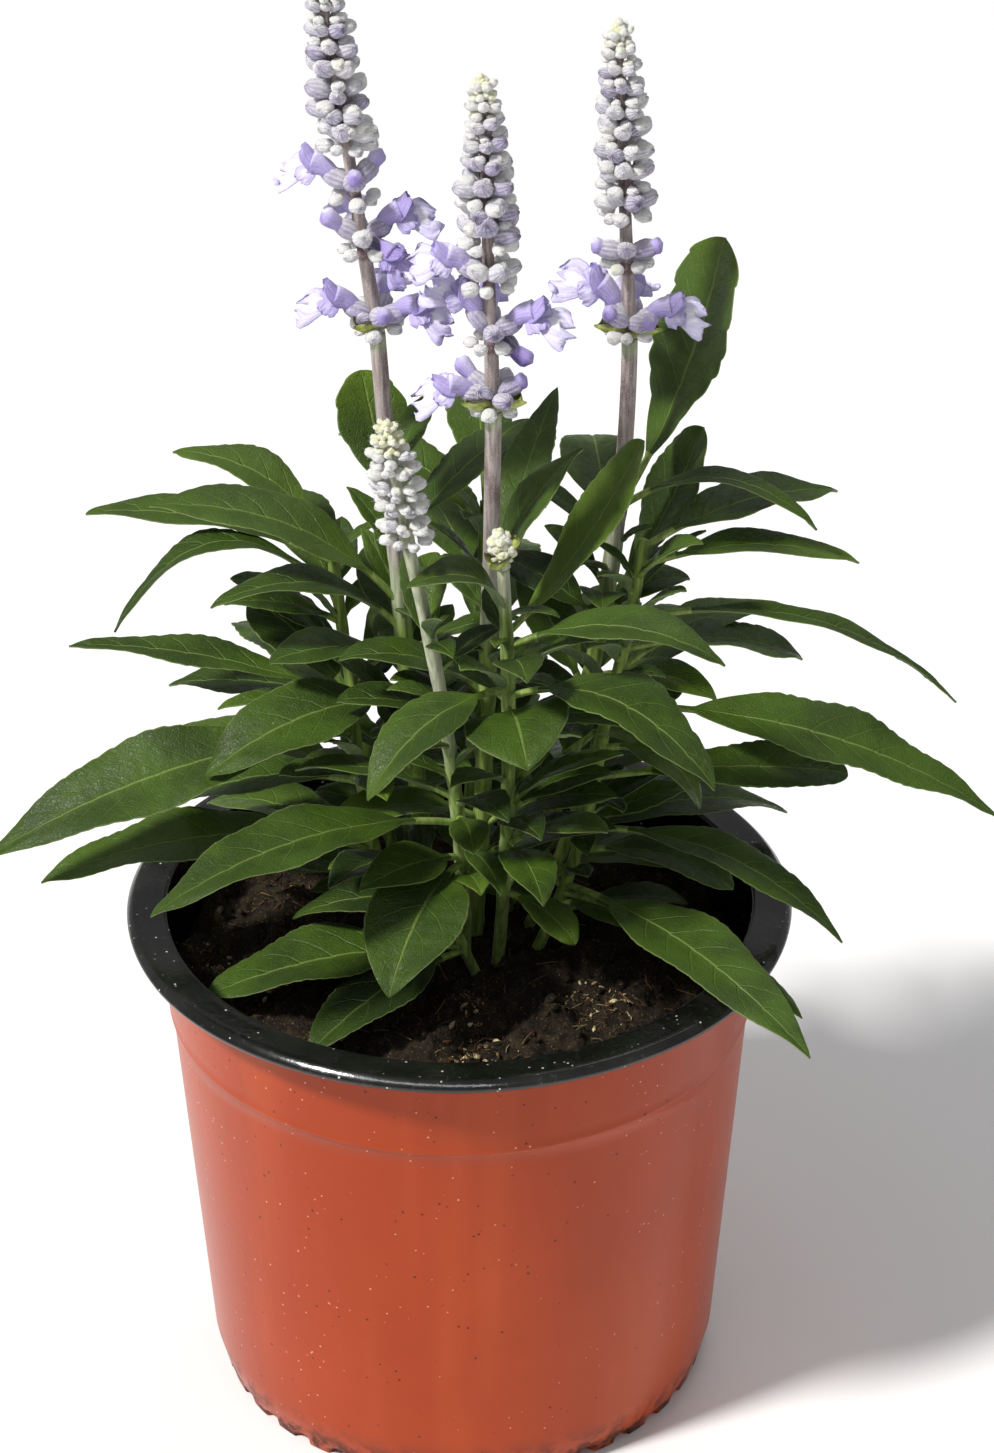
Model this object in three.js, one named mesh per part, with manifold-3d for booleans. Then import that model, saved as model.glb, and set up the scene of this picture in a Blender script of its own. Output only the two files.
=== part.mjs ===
// Potted mealycup sage: a bushy young plant with three open flower spikes, one white
// spike in bud and one just forming, growing in a 14 cm plastic nursery pot.
// Millimetres, +Z up. The origin is the middle of the pot's underside.

import * as THREE from 'three';
import { mergeVertices } from 'three/addons/utils/BufferGeometryUtils.js';
import Module from 'manifold-3d';

// Pot
const RIM_RADIUS = 70;
const POT_HEIGHT = 113;
const RIM_DEPTH = 2.8;
const WALL_TOP_RADIUS = 63;
const WALL_FOOT_RADIUS = 55.6;
const FOOT_HEIGHT = 8;
const FOOT_RADIUS = 53.6;
const BEAD_HEIGHT = 90.5;
const BEAD_PROUD = 0.6;
const POT_WALL = 1.2;
const POT_SEGMENTS = 36;
const PAD_RADIUS = 18;
const RECESS_OUTER_RADIUS = 45;
const RECESS_DEPTH = 2.2;
const DRAIN_COUNT = 36;
const DRAIN_WIDTH = 2;
const DRAIN_HEIGHT = 2.4;
const DRAIN_LENGTH = 6;

// Soil
const SOIL_HEIGHT = 97.5;
const SOIL_LUMP = 1.3;
const SOIL_RINGS = [16, 33, 49];
const STEM_DEPTH = 12;

// Gap between pieces that touch
const GAP = 0.3;

// Stems
const STEM_SIDES = 6;
const STEM_STEPS = 5;

// Leaves
const BLADE_THICKNESS = 0.8;
const PETIOLE_THICKNESS = 1.5;
const PETIOLE_HALF_WIDTH = 0.8;
const PETIOLE_SHARE = 0.2;
const LEAF_FOLD = 0.22;
const TOOTH = 0.05;
const LEAF_STATIONS = [0, 0.2, 0.36, 0.54, 0.74, 0.91, 1];
const SMALL_LEAF_STATIONS = [0, 0.22, 0.48, 0.8, 1];
const SMALL_LEAF = 46;

const GREEN = { color: 0x4b6b2c, roughness: 0.55, metalness: 0 };
const MEALY_WHITE = { color: 0xd5d4c6, roughness: 0.9, metalness: 0 };
const LAVENDER = { color: 0xa79cc9, roughness: 0.8, metalness: 0 };
const TERRACOTTA = { color: 0xc05233, roughness: 0.4, metalness: 0 };
const PEAT = { color: 0x2c2019, roughness: 1, metalness: 0 };

// Each stem leaves the soil at the first point, bends towards the second and ends at the third.
const STEMS = {
  stem_left_spike: { path: [[-6, 6, 97], [-11, 8, 170], [-15, 5, 239]], radius: 1.7 },
  stem_middle_spike: { path: [[3, 6, 97], [7, -2, 165], [7.6, -8, 228]], radius: 1.7 },
  stem_right_spike: { path: [[11, 14, 97], [35, 22, 160], [34.9, 20, 231]], radius: 1.7 },
  stem_young_spike: { path: [[1, 0, 97], [2, -14, 150], [-9, -22, 206]], radius: 1.35 },
  stem_bud_spike: { path: [[8, -2, 97], [12, -16, 150], [9.4, -22, 201]], radius: 1.3 },
  shoot_left_low: { path: [[-12, 2, 97], [-20, 4, 125], [-22, 4, 160]], radius: 1.2 },
  shoot_left_high: { path: [[-8, 14, 97], [-22, 20, 130], [-26, 22, 187]], radius: 1.2 },
  shoot_right_low: { path: [[16, 2, 97], [26, 2, 120], [30, 2, 150]], radius: 1.2 },
  shoot_right_high: { path: [[14, 10, 97], [32, 10, 140], [38, 12, 190]], radius: 1.2 },
  shoot_back: { path: [[0, 18, 97], [4, 28, 140], [6, 30, 190]], radius: 1.2 },
  shoot_front: { path: [[4, -8, 97], [2, -10, 103], [0, -12, 110]], radius: 1.1 },
};

// Each leaf: height of its root on the stem, the way it points in plan (0 = right, 90 = back),
// length to the tip, slope of the line to the tip, width, arch above that line,
// roll about that line, and how blunt the tip is, from 0 to 2.
const LEAVES = {
  stem_left_spike: [
    [108, 160, 42, -2, 14, 5, 0, 0],
    [122, 92, 45, 6, 14, 7, 0, 0],
    [138, 158, 34, 14, 10, 5, 0, 0],
    [156, 209, 47, -6, 18, 7, -15, 0],
    [165, 202, 30, 11, 13, 3, 0, 1],
    [172, 198, 42, 17, 12, 8, 0, 0],
    [178, 186, 56, 27, 20, 8, -10, 0],
    [192, 50, 44, 17, 11, 3, 0, 0],
    [190, 140, 17, 40, 6, 1, 0, 0],
    [198, 110, 31, 52, 17, -2, 0, 2],
    [206, 60, 22, 35, 7, 2, 0, 0],
  ],
  stem_middle_spike: [
    [116, 125, 27, 5, 12, 5, 0, 0],
    [142, 72, 40, 18, 14, 5, 0, 0],
    [186, 20, 35, 56, 12, 3, 0, 0],
    [180, 70, 53, 39, 10, 3, 0, 0],
    [172, 24, 53, 50, 15, -3, 0, 2],
    [160, 196, 34, 25, 14, 5, 0, 0],
    [148, -10, 34, 15, 15, 5, 0, 0],
    [130, 205, 36, 10, 14, 5, 0, 0],
  ],
  stem_right_spike: [
    [120, 50, 45, 2, 16, 7, 0, 0],
    [146, 78, 44, 10, 16, 6, 0, 0],
    [154, -20, 28, 0, 12, 4, 0, 0],
    [193, -12, 41, -1, 8, 9, 0, 0],
    [193, 38, 59, 63, 23, -4, -5, 2],
    [170, 30, 43, 57, 16, -2, 0, 2],
    [168, 10, 20, 22, 13, 3, 0, 1],
    [165, 8, 31, 45, 8, 2, 0, 0],
    [140, -25, 27, -8, 12, 6, 0, 0],
    [184, 95, 42, 8, 16, 7, 0, 0],
  ],
  stem_young_spike: [
    [110, 185, 36, 2, 13, 5, 0, 0],
    [136, 216, 74, 4, 19, 7, -5, 0],
    [125, -112, 40, -14, 21, 5, 0, 0],
    [120, -75, 16, 20, 9, 2, 0, 0],
  ],
  stem_bud_spike: [
    [172, -140, 38, -18, 18, 6, 0, 0],
    [166, -82, 26, 4, 24, 4, 10, 0],
    [170, -35, 49, -6, 19, 10, 0, 0],
    [182, -15, 44, 3, 16, 7, 0, 0],
    [184, 195, 25, 36, 13, 8, 0, 0],
    [118, -40, 20, -15, 10, 2, 0, 1],
    [140, 20, 24, 10, 11, 3, 0, 0],
  ],
  shoot_left_low: [
    [150, 197, 81, -12, 24, 9, -25, 0],
    [122, 192, 70, 1, 17, 7, -5, 0],
    [158, 174, 59, 9, 14, 3, 0, 0],
    [154, 188, 28, 8, 8, 3, 0, 0],
    [138, 178, 40, -9, 15, 4, 0, 0],
    [118, 145, 46, 0, 14, 6, 0, 0],
  ],
  shoot_left_high: [
    [185, 160, 38, 23, 14, 5, 0, 0],
    [180, 178, 52, 12, 12, 4, 0, 1],
    [172, 192, 47, -3, 13, 17, 0, 0],
    [148, 160, 31, 42, 17, 3, -15, 2],
    [148, 172, 40, 2, 14, 3, 0, 0],
    [140, 125, 52, 5, 16, 7, 0, 0],
    [168, 115, 44, 15, 15, 7, 0, 0],
    [126, 158, 56, 0, 16, 8, 0, 0],
  ],
  shoot_right_low: [
    [114, -52, 77, -2, 22, 6, 0, 0],
    [112, -44, 66, -1, 12, 5, 0, 0],
    [122, -14, 34, -7, 14, 4, 0, 1],
    [128, -20, 59, -16, 17, 7, 0, 0],
    [140, 5, 53, -2, 13, 3, 20, 2],
    [147, -22, 24, -24, 13, 6, 0, 0],
  ],
  shoot_right_high: [
    [112, -10, 40, 6, 14, 5, 0, 0],
    [152, -8, 84, -14, 22, 9, 15, 0],
    [165, 15, 40, -11, 15, 4, 0, 1],
    [172, 0, 71, -16, 13, 10, 0, 0],
    [160, 35, 45, 2, 12, 4, 0, 0],
    [184, 8, 46, -3, 14, 4, 0, 0],
    [188, 26, 46, 4, 16, 4, 0, 0],
    [150, 60, 52, 0, 16, 7, 0, 0],
    [132, 75, 56, -5, 17, 9, 0, 0],
    [118, 20, 52, -2, 16, 7, 0, 0],
  ],
  shoot_back: [
    [112, 60, 45, 5, 16, 6, 0, 0],
    [114, 130, 45, 5, 16, 6, 0, 0],
    [150, 80, 56, 5, 17, 8, 0, 0],
    [166, 112, 48, 12, 16, 7, 0, 0],
    [180, 70, 42, 16, 14, 5, 0, 0],
    [182, 145, 40, 20, 14, 5, 0, 0],
    [128, 100, 62, -4, 18, 10, 0, 0],
    [190, 95, 30, 30, 14, 3, 0, 1],
  ],
  shoot_front: [
    [107, 192, 55, -5, 20, 3, 0, 0],
    [106, -136, 44, -7, 16, 3, 0, 0],
  ],
};

// Each flower spike: its foot and tip, the radius it reaches, the heights of its whorls above
// the foot. A flower: its whorl, the way it points, how far it rises, its size, and 1 where it
// is open. A bract: the way it points.
const SPIKES = {
  flowers_left: {
    foot: [-15, 5, 239.3],
    tip: [-25, 5, 316],
    radius: 7,
    whorls: [2.7, 19.4, 30.2, 40.5, 44.8, 49.1, 53.3, 57.5, 61.6, 65.6, 69.5, 73.2],
    skin: LAVENDER,
    flowers: [
      [0, 187, 25, 1, 1],
      [0, 352, 12, 1, 1],
      [0, 290, 20, 0.6, 0],
      [0, 70, 30, 0.9, 1],
      [1, 5, 28, 1, 1],
      [1, 325, -20, 0.8, 1],
      [1, 200, 35, 0.8, 0],
      [1, 110, 30, 0.9, 1],
      [2, 172, 22, 1, 1],
      [2, 20, 45, 0.7, 0],
      [2, 275, 30, 0.6, 0],
    ],
    bracts: [235, 20],
  },
  flowers_middle: {
    foot: [7.6, -8, 228.3],
    tip: [5.8, -8, 297],
    radius: 7.1,
    whorls: [2.6, 16.2, 27.9, 36.3, 40.7, 45.2, 49.6, 53.8, 57.9, 61.7, 65.1],
    skin: LAVENDER,
    flowers: [
      [0, 190, 12, 1, 1],
      [0, 150, 35, 0.8, 0],
      [0, 5, 25, 0.6, 0],
      [1, 178, 50, 1, 1],
      [1, 350, 22, 1.05, 1],
      [1, 340, -35, 0.8, 0],
      [1, 90, 30, 0.9, 1],
      [2, 186, 22, 1, 1],
    ],
    bracts: [215, 330],
  },
  flowers_right: {
    foot: [34.9, 20, 231.3],
    tip: [31.8, 20, 298],
    radius: 6.8,
    whorls: [2.6, 17.6, 28, 34, 38.4, 42.8, 47.1, 51.3, 55.3, 59.1, 62.7],
    skin: LAVENDER,
    flowers: [
      [0, 178, 48, 1.15, 1],
      [0, 355, 18, 1, 1],
      [0, 310, 15, 0.6, 0],
      [0, 220, 30, 0.6, 0],
      [0, 80, 30, 0.9, 1],
      [1, 190, 15, 0.6, 0],
      [1, 350, 15, 0.6, 0],
    ],
    bracts: [195, 330],
  },
  flowers_young: {
    foot: [-9, -22, 206.3],
    tip: [-13, -24, 234],
    radius: 6.4,
    whorls: [3, 7.2, 11.3, 15.3, 19.1, 22.6, 25.4],
    skin: MEALY_WHITE,
    flowers: [],
    bracts: [],
  },
  flowers_bud: {
    foot: [9.4, -22, 201.3],
    tip: [8.3, -22.5, 209.5],
    radius: 3.2,
    whorls: [2.8, 5.6],
    skin: MEALY_WHITE,
    flowers: [],
    bracts: [250, 70],
  },
};

// Calyces and flowers
const RACHIS_RADIUS = 1.5;
const RACHIS_TIP_RADIUS = 0.7;
const CORE_SIDES = 6;
const HOLLOW_SHARE = 0.5;
const FAR_WHORL = 8;
const WHORL_HALF_HEIGHT = 2.6;
const WHORL_CALYCES = 6;
const CALYX_RISE = 25;
const CALYX_SIDES = 4;
const CALYX_MOUTH = 0.82;
const CALYX_WIDTH_SHARE = 0.66;
const CALYX_HEIGHT_SHARE = 0.6;
const TIP_TAPER = 0.32;
const TAPER_RATE = 1.85;
const TAKEN_SHARE = 0.6;
const FLOWER_ROOM = 0.75;
const BUD_SIDES = 4;
const BUD_LENGTH = 13;
const BUD_WIDTH = 3.8;
const HOOD_START = 8.5;
const HOOD_LENGTH = 5.5;
const HOOD_WIDTH = 4;
const PETAL_THICKNESS = 0.7;
const PETAL_STATIONS = [0, 0.5, 1];
const BRACT_LENGTH = 7.5;
const BRACT_WIDTH = 5;

// An open flower: distance out from the axis, drop below that line, half width, half height.
const FLOWER_STATIONS = [
  [1.5, 0, 1, 1],
  [4.5, 0, 1.9, 1.9],
  [7, 0, 1.4, 1.4],
  [10.5, 0, 2, 1.7],
  [13, 1.2, 4.4, 0.4],
  [16.5, 4.6, 3.4, 0.35],
];

const wasm = await Module();
wasm.setup();

function radians(degrees) {
  return THREE.MathUtils.degToRad(degrees);
}

function solidOf(geometry) {
  const loose = geometry.index ? geometry.toNonIndexed() : geometry;
  const bare = new THREE.BufferGeometry();
  bare.setAttribute('position', loose.getAttribute('position'));
  const merged = mergeVertices(bare, 1e-4);
  return new wasm.Manifold(new wasm.Mesh({
    numProp: 3,
    vertProperties: merged.attributes.position.array,
    triVerts: new Uint32Array(merged.index.array),
  }));
}

// The joined body, without the tiny hollows that joining may seal.
function fuse(geometries) {
  const bodies = wasm.Manifold.union(geometries.map(solidOf)).decompose();
  return bodies.reduce((most, body) => (body.volume() > most.volume() ? body : most));
}

function meshOf(solid, name, skin) {
  const { vertProperties, triVerts } = solid.getMesh();
  const geometry = new THREE.BufferGeometry();
  geometry.setAttribute('position', new THREE.BufferAttribute(vertProperties, 3));
  geometry.setIndex(new THREE.BufferAttribute(triVerts, 1));
  const mesh = new THREE.Mesh(geometry.toNonIndexed(), new THREE.MeshStandardMaterial(skin));
  mesh.geometry.computeVertexNormals();
  mesh.name = name;
  return mesh;
}

// A closed body through sections with the same number of points. Its upper and lower
// faces are split alike, so that a thin waved blade doesn't cross itself.
function loft(sections) {
  const count = sections[0].length;
  const points = [];
  const face = (a, b, c) => points.push(a, b, c);
  for (let i = 0; i < sections.length - 1; i++) {
    const [near, far] = [sections[i], sections[i + 1]];
    for (let k = 0; k < count; k++) {
      const next = (k + 1) % count;
      if (k < count / 2) {
        face(near[k], near[next], far[next]);
        face(near[k], far[next], far[k]);
      } else {
        face(near[k], near[next], far[k]);
        face(near[next], far[next], far[k]);
      }
    }
  }
  const [first, last] = [sections[0], sections[sections.length - 1]];
  for (let k = 0; k < count / 2 - 1; k++) {
    const [left, right] = [count - 1 - k, count - 2 - k];
    face(first[k], first[left], first[k + 1]);
    face(last[k], last[k + 1], last[left]);
    if (right === k + 1) continue;
    face(first[k + 1], first[left], first[right]);
    face(last[k + 1], last[right], last[left]);
  }
  return new THREE.BufferGeometry().setFromPoints(points);
}

// The line of a blade and the directions across it, at a share t of its length.
function bladeLine({ root, azimuth, slope, roll, length, arch }) {
  const [turn, rise, twist] = [radians(azimuth), radians(slope), radians(roll)];
  const along = new THREE.Vector3(
    Math.cos(rise) * Math.cos(turn),
    Math.cos(rise) * Math.sin(turn),
    Math.sin(rise),
  );
  const level = new THREE.Vector3(-Math.sin(turn), Math.cos(turn), 0);
  const side = level.applyAxisAngle(along, twist);
  const up = along.clone().cross(side);
  return (t) => {
    const middle = root.clone()
      .addScaledVector(along, length * t)
      .addScaledVector(up, 4 * arch * t * (1 - t));
    const tangent = along.clone().multiplyScalar(length).addScaledVector(up, 4 * arch * (1 - 2 * t));
    const normal = tangent.normalize().cross(side);
    return { middle, side, normal };
  };
}

// Half the width of a leaf: a slender stalk, then an oblong blade with toothed margins.
function leafHalfWidth(t, width, blunt, tooth) {
  const u = Math.max(0, (t - PETIOLE_SHARE) / (1 - PETIOLE_SHARE));
  const bow = Math.abs(Math.sin(Math.PI * u ** (0.85 + 0.35 * blunt))) ** (0.8 - 0.15 * blunt);
  return Math.max((width / 2) * bow * (1 + tooth), PETIOLE_HALF_WIDTH * (1 - 0.6 * u));
}

function leaf(root, [, azimuth, length, slope, width, arch, roll, blunt]) {
  const line = bladeLine({ root, azimuth, slope, roll, length, arch });
  const stations = length < SMALL_LEAF ? SMALL_LEAF_STATIONS : LEAF_STATIONS;
  const sections = stations.map((t, index) => {
    const { middle, side, normal } = line(t);
    const half = leafHalfWidth(t, width, blunt, index % 2 ? TOOTH : -TOOTH);
    const stalk = Math.max(0, 1 - t / PETIOLE_SHARE);
    const thick = BLADE_THICKNESS + (PETIOLE_THICKNESS - BLADE_THICKNESS) * stalk;
    const point = (across, up) => middle.clone()
      .addScaledVector(side, across * half)
      .addScaledVector(normal, LEAF_FOLD * Math.abs(across) * half + (up * thick) / 2);
    return [point(1, 1), point(0, 1), point(-1, 1), point(-1, -1), point(0, -1), point(1, -1)];
  });
  return loft(sections);
}

function petal(root, azimuth, slope, length, width, arch) {
  const line = bladeLine({ root, azimuth, slope, roll: 0, length, arch });
  return loft(PETAL_STATIONS.map((t) => {
    const { middle, side, normal } = line(t);
    const half = (width / 2) * (0.35 + 0.65 * Math.sin(Math.PI * t * 0.75));
    const point = (across, up) => middle.clone()
      .addScaledVector(side, across * half)
      .addScaledVector(normal, (up * PETAL_THICKNESS) / 2);
    return [point(1, 1), point(-1, 1), point(-1, -1), point(1, -1)];
  }));
}

function pathOf([foot, bend, top]) {
  const [a, b, c] = [foot, bend, top].map((point) => new THREE.Vector3(...point));
  return new THREE.QuadraticBezierCurve3(a, b, c);
}

// The point of a stem's path at a height, found by halving, since every stem only rises.
function pointAtHeight(path, height) {
  let [low, high] = [0, 1];
  for (let i = 0; i < 30; i++) {
    const middle = (low + high) / 2;
    if (path.getPoint(middle).z < height) low = middle;
    else high = middle;
  }
  return path.getPoint(low);
}

// A stem with slightly flattened sides, rising from below the soil's surface.
function stemRod(path, radius, extra) {
  const foot = path.getPoint(0);
  const start = foot.clone().addScaledVector(path.getTangent(0), -STEM_DEPTH - extra);
  const sections = [];
  for (let i = 0; i <= STEM_STEPS; i++) {
    const centre = i ? path.getPoint(i / STEM_STEPS) : start;
    const section = [];
    for (let k = 0; k < STEM_SIDES; k++) {
      const turn = (2 * Math.PI * k) / STEM_SIDES;
      const reach = radius + extra;
      section.push(new THREE.Vector3(Math.cos(turn) * reach, Math.sin(turn) * reach, 0).add(centre));
    }
    sections.push(section);
  }
  return loft(sections);
}

function leafyStem(name) {
  const { path, radius } = STEMS[name];
  const curve = pathOf(path);
  const leaves = LEAVES[name].map((row) => leaf(pointAtHeight(curve, row[0]), row));
  return meshOf(fuse([stemRod(curve, radius, 0), ...leaves]), name, GREEN);
}

// The unit vector at an azimuth and a rise.
function heading(azimuth, rise) {
  const [turn, lift] = [radians(azimuth), radians(rise)];
  return new THREE.Vector3(
    Math.cos(lift) * Math.cos(turn),
    Math.cos(lift) * Math.sin(turn),
    Math.sin(lift),
  );
}

// A blunt egg from a point on the axis outwards: a calyx, or a bud that shows in it.
function egg(root, direction, length, width, sides) {
  const geometry = new THREE.SphereGeometry(1, sides, 3);
  geometry.scale(width / 2, length / 2, width / 2);
  const turn = new THREE.Quaternion().setFromUnitVectors(new THREE.Vector3(0, 1, 0), direction);
  geometry.applyQuaternion(turn);
  const middle = root.clone().addScaledVector(direction, length / 2);
  return geometry.translate(middle.x, middle.y, middle.z);
}

// A flower from the axis outwards: calyx, narrow neck, throat and the wide lower lip that
// hangs from it in one body, and the small hood above it. A closed one is a long bud.
function flower(root, azimuth, rise, size, isOpen) {
  const direction = heading(azimuth, rise);
  if (!isOpen) return [egg(root, direction, BUD_LENGTH * size, BUD_WIDTH * size, BUD_SIDES)];
  const side = heading(azimuth + 90, 0);
  const stations = FLOWER_STATIONS.map(([out, drop, halfWidth, halfHeight]) => {
    const middle = root.clone().addScaledVector(direction, out * size);
    middle.z -= drop * size;
    const up = direction.clone().cross(side);
    const point = (across, over) => middle.clone()
      .addScaledVector(side, across * halfWidth * size)
      .addScaledVector(up, over * halfHeight * size);
    return [point(1, 1), point(-1, 1), point(-1, -1), point(1, -1)];
  });
  const throat = root.clone().addScaledVector(direction, HOOD_START * size);
  const hood = petal(throat, azimuth, rise + 30, HOOD_LENGTH * size, HOOD_WIDTH * size, size);
  return [loft(stations), hood];
}

function ringSection(centre, radius, sides) {
  const section = [];
  for (let k = 0; k < sides; k++) {
    const turn = (2 * Math.PI * (k + 0.5)) / sides;
    section.push(new THREE.Vector3(Math.cos(turn) * radius, Math.sin(turn) * radius, 0).add(centre));
  }
  return section;
}

// Whorls of calyces in one closed body. Each calyx is a blunt knob that rises from a diamond
// between four hollows: one on either side, and one in the whorl above and the whorl below,
// which is turned half a step. reachOf gives a calyx's length by its whorl and direction.
function whorlBody(at, rises, reachOf) {
  const step = 360 / WHORL_CALYCES;
  const last = rises.length - 1;
  const points = [];
  const face = (a, b, c) => points.push(a, b, c);
  const hollow = (index, turn) => {
    if (index < 0) return at(rises[0] - WHORL_HALF_HEIGHT);
    if (index > last) return at(rises[last] + WHORL_HALF_HEIGHT);
    const radius = HOLLOW_SHARE * reachOf(index, null);
    return at(rises[index]).addScaledVector(heading(turn, 0), radius);
  };
  rises.forEach((rise, index) => {
    for (let k = 0; k < WHORL_CALYCES; k++) {
      const turn = (k + (index % 2) / 2) * step;
      const [west, east] = [hollow(index, turn - step / 2), hollow(index, turn + step / 2)];
      const [south, north] = [hollow(index - 1, turn), hollow(index + 1, turn)];
      const reach = reachOf(index, turn);
      const direction = heading(turn, CALYX_RISE);
      const side = heading(turn + 90, 0);
      const up = direction.clone().cross(side);
      const mouth = at(rise).addScaledVector(direction, CALYX_MOUTH * reach);
      const rim = (across, over) => mouth.clone()
        .addScaledVector(side, (across * CALYX_WIDTH_SHARE * reach) / 2)
        .addScaledVector(up, (over * CALYX_HEIGHT_SHARE * reach) / 2);
      const [w, s, e, n] = [rim(-1, 0), rim(0, -1), rim(1, 0), rim(0, 1)];
      const tip = at(rise).addScaledVector(direction, reach);
      const outer = [west, south, east, north];
      const inner = [w, s, e, n];
      for (let i = 0; i < 4; i++) {
        const next = (i + 1) % 4;
        face(outer[i], outer[next], inner[next]);
        face(outer[i], inner[next], inner[i]);
        face(inner[i], inner[next], tip);
      }
    }
  });
  return new THREE.BufferGeometry().setFromPoints(points);
}

function flowerSpike(name) {
  const { foot, tip, radius, whorls, skin, flowers, bracts } = SPIKES[name];
  const [low, high] = [new THREE.Vector3(...foot), new THREE.Vector3(...tip)];
  const axis = high.clone().sub(low);
  const height = axis.length();
  axis.normalize();
  const at = (rise) => low.clone().addScaledVector(axis, rise);
  const isTaken = (whorl, turn) => turn !== null && flowers.some((row) => (
    row[0] === whorl && Math.cos(radians(row[1] - turn)) > FLOWER_ROOM
  ));
  const reachAt = (whorl, turn) => {
    const taper = Math.min(1, TIP_TAPER + (1 - whorls[whorl] / height) * TAPER_RATE);
    return radius * taper * (isTaken(whorl, turn) ? TAKEN_SHARE : 1);
  };
  const dense = whorls.findIndex((rise, index) => whorls[index + 1] - rise < FAR_WHORL);
  const rachis = [[RACHIS_RADIUS, 0], [RACHIS_TIP_RADIUS, height - 1.5]];
  const pieces = [loft(rachis.map(([reach, rise]) => ringSection(at(rise), reach, CORE_SIDES)))];
  for (let index = 0; index < dense; index++) {
    pieces.push(whorlBody(at, [whorls[index]], (_, turn) => reachAt(index, turn)));
  }
  const crowd = whorls.slice(dense);
  pieces.push(whorlBody(at, crowd, (index, turn) => reachAt(index + dense, turn)));
  pieces.push(egg(at(height - 4), axis, 4, 2.6, CALYX_SIDES));
  for (const [whorl, azimuth, rise, size, isOpen] of flowers) {
    pieces.push(...flower(at(whorls[whorl] + 0.5), azimuth, rise, size, isOpen));
  }
  for (const azimuth of bracts) {
    pieces.push(petal(at(whorls[0] - 1), azimuth, 5, BRACT_LENGTH, BRACT_WIDTH, -1));
  }
  return meshOf(fuse(pieces), name, skin);
}

// Radius of the pot's wall at a height, outside.
function wallRadius(height) {
  const share = (height - FOOT_HEIGHT) / (POT_HEIGHT - RIM_DEPTH - FOOT_HEIGHT);
  return WALL_FOOT_RADIUS + (WALL_TOP_RADIUS - WALL_FOOT_RADIUS) * share;
}

function lathe(profile, segments) {
  const points = profile.map(([radius, height]) => new THREE.Vector2(radius, height));
  return new THREE.LatheGeometry(points, segments).rotateX(Math.PI / 2);
}

// One turned plastic wall with a flat rolled rim, a bead under it, and a foot ring,
// a middle pad and a shallow recess between them underneath.
function potBody() {
  const lip = POT_HEIGHT - RIM_DEPTH;
  const inner = (height) => wallRadius(height) - POT_WALL;
  return lathe([
    [0, 0],
    [PAD_RADIUS, 0],
    [PAD_RADIUS + 2, RECESS_DEPTH],
    [RECESS_OUTER_RADIUS, RECESS_DEPTH],
    [RECESS_OUTER_RADIUS + 2, 0],
    [FOOT_RADIUS, 0],
    [WALL_FOOT_RADIUS, FOOT_HEIGHT],
    [wallRadius(BEAD_HEIGHT - 1), BEAD_HEIGHT - 1],
    [wallRadius(BEAD_HEIGHT) + BEAD_PROUD, BEAD_HEIGHT],
    [wallRadius(lip), lip],
    [RIM_RADIUS - 0.6, lip],
    [RIM_RADIUS, lip + 1],
    [RIM_RADIUS - 1.6, POT_HEIGHT],
    [inner(lip), POT_HEIGHT],
    [inner(FOOT_HEIGHT), FOOT_HEIGHT],
    [FOOT_RADIUS - POT_WALL, RECESS_DEPTH + POT_WALL],
    [0, RECESS_DEPTH + POT_WALL],
  ], POT_SEGMENTS);
}

function pot() {
  let body = solidOf(potBody());
  for (let k = 0; k < DRAIN_COUNT; k++) {
    const drain = new THREE.CylinderGeometry(DRAIN_HEIGHT, DRAIN_HEIGHT, DRAIN_LENGTH, 3);
    drain.rotateZ(Math.PI / 2).rotateX(-Math.PI / 2);
    drain.scale(1, DRAIN_WIDTH / DRAIN_HEIGHT, 1).translate(FOOT_RADIUS + 1.5, 0, -0.6);
    drain.rotateZ((2 * Math.PI * k) / DRAIN_COUNT);
    body = body.subtract(solidOf(drain));
  }
  return meshOf(body, 'pot', TERRACOTTA);
}

// The lumpy top of the soil, highest round the stems.
function soilHeight(x, y) {
  const lumps = Math.sin(x * 0.31 + 1) * Math.cos(y * 0.27) + 0.6 * Math.sin(x * 0.53 - y * 0.47);
  const mound = 2 * Math.exp(-(x * x + y * y) / 900);
  return SOIL_HEIGHT + mound + SOIL_LUMP * lumps;
}

function soilBody() {
  const bottom = RECESS_DEPTH + POT_WALL + GAP;
  const edge = (height) => wallRadius(height) - POT_WALL - GAP;
  const rings = [
    [FOOT_RADIUS - POT_WALL - 1, bottom],
    [edge(FOOT_HEIGHT + 1), FOOT_HEIGHT + 1],
  ];
  const rim = edge(SOIL_HEIGHT - 4);
  const points = [];
  const turned = (radius, k, height) => {
    const turn = (2 * Math.PI * k) / POT_SEGMENTS;
    const [x, y] = [radius * Math.cos(turn), radius * Math.sin(turn)];
    return new THREE.Vector3(x, y, height ?? soilHeight(x, y));
  };
  const levels = [
    (k) => turned(0, k, bottom),
    ...rings.map(([radius, height]) => (k) => turned(radius, k, height)),
    (k) => turned(rim, k),
    ...SOIL_RINGS.toReversed().map((radius) => (k) => turned(radius, k)),
    (k) => turned(0, k),
  ];
  for (let i = 0; i < levels.length - 1; i++) {
    for (let k = 0; k < POT_SEGMENTS; k++) {
      const [a, b] = [levels[i](k), levels[i](k + 1)];
      const [c, d] = [levels[i + 1](k + 1), levels[i + 1](k)];
      if (i > 0) points.push(a, b, c);
      if (i < levels.length - 2) points.push(a, c, d);
    }
  }
  return new THREE.BufferGeometry().setFromPoints(points);
}

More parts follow.
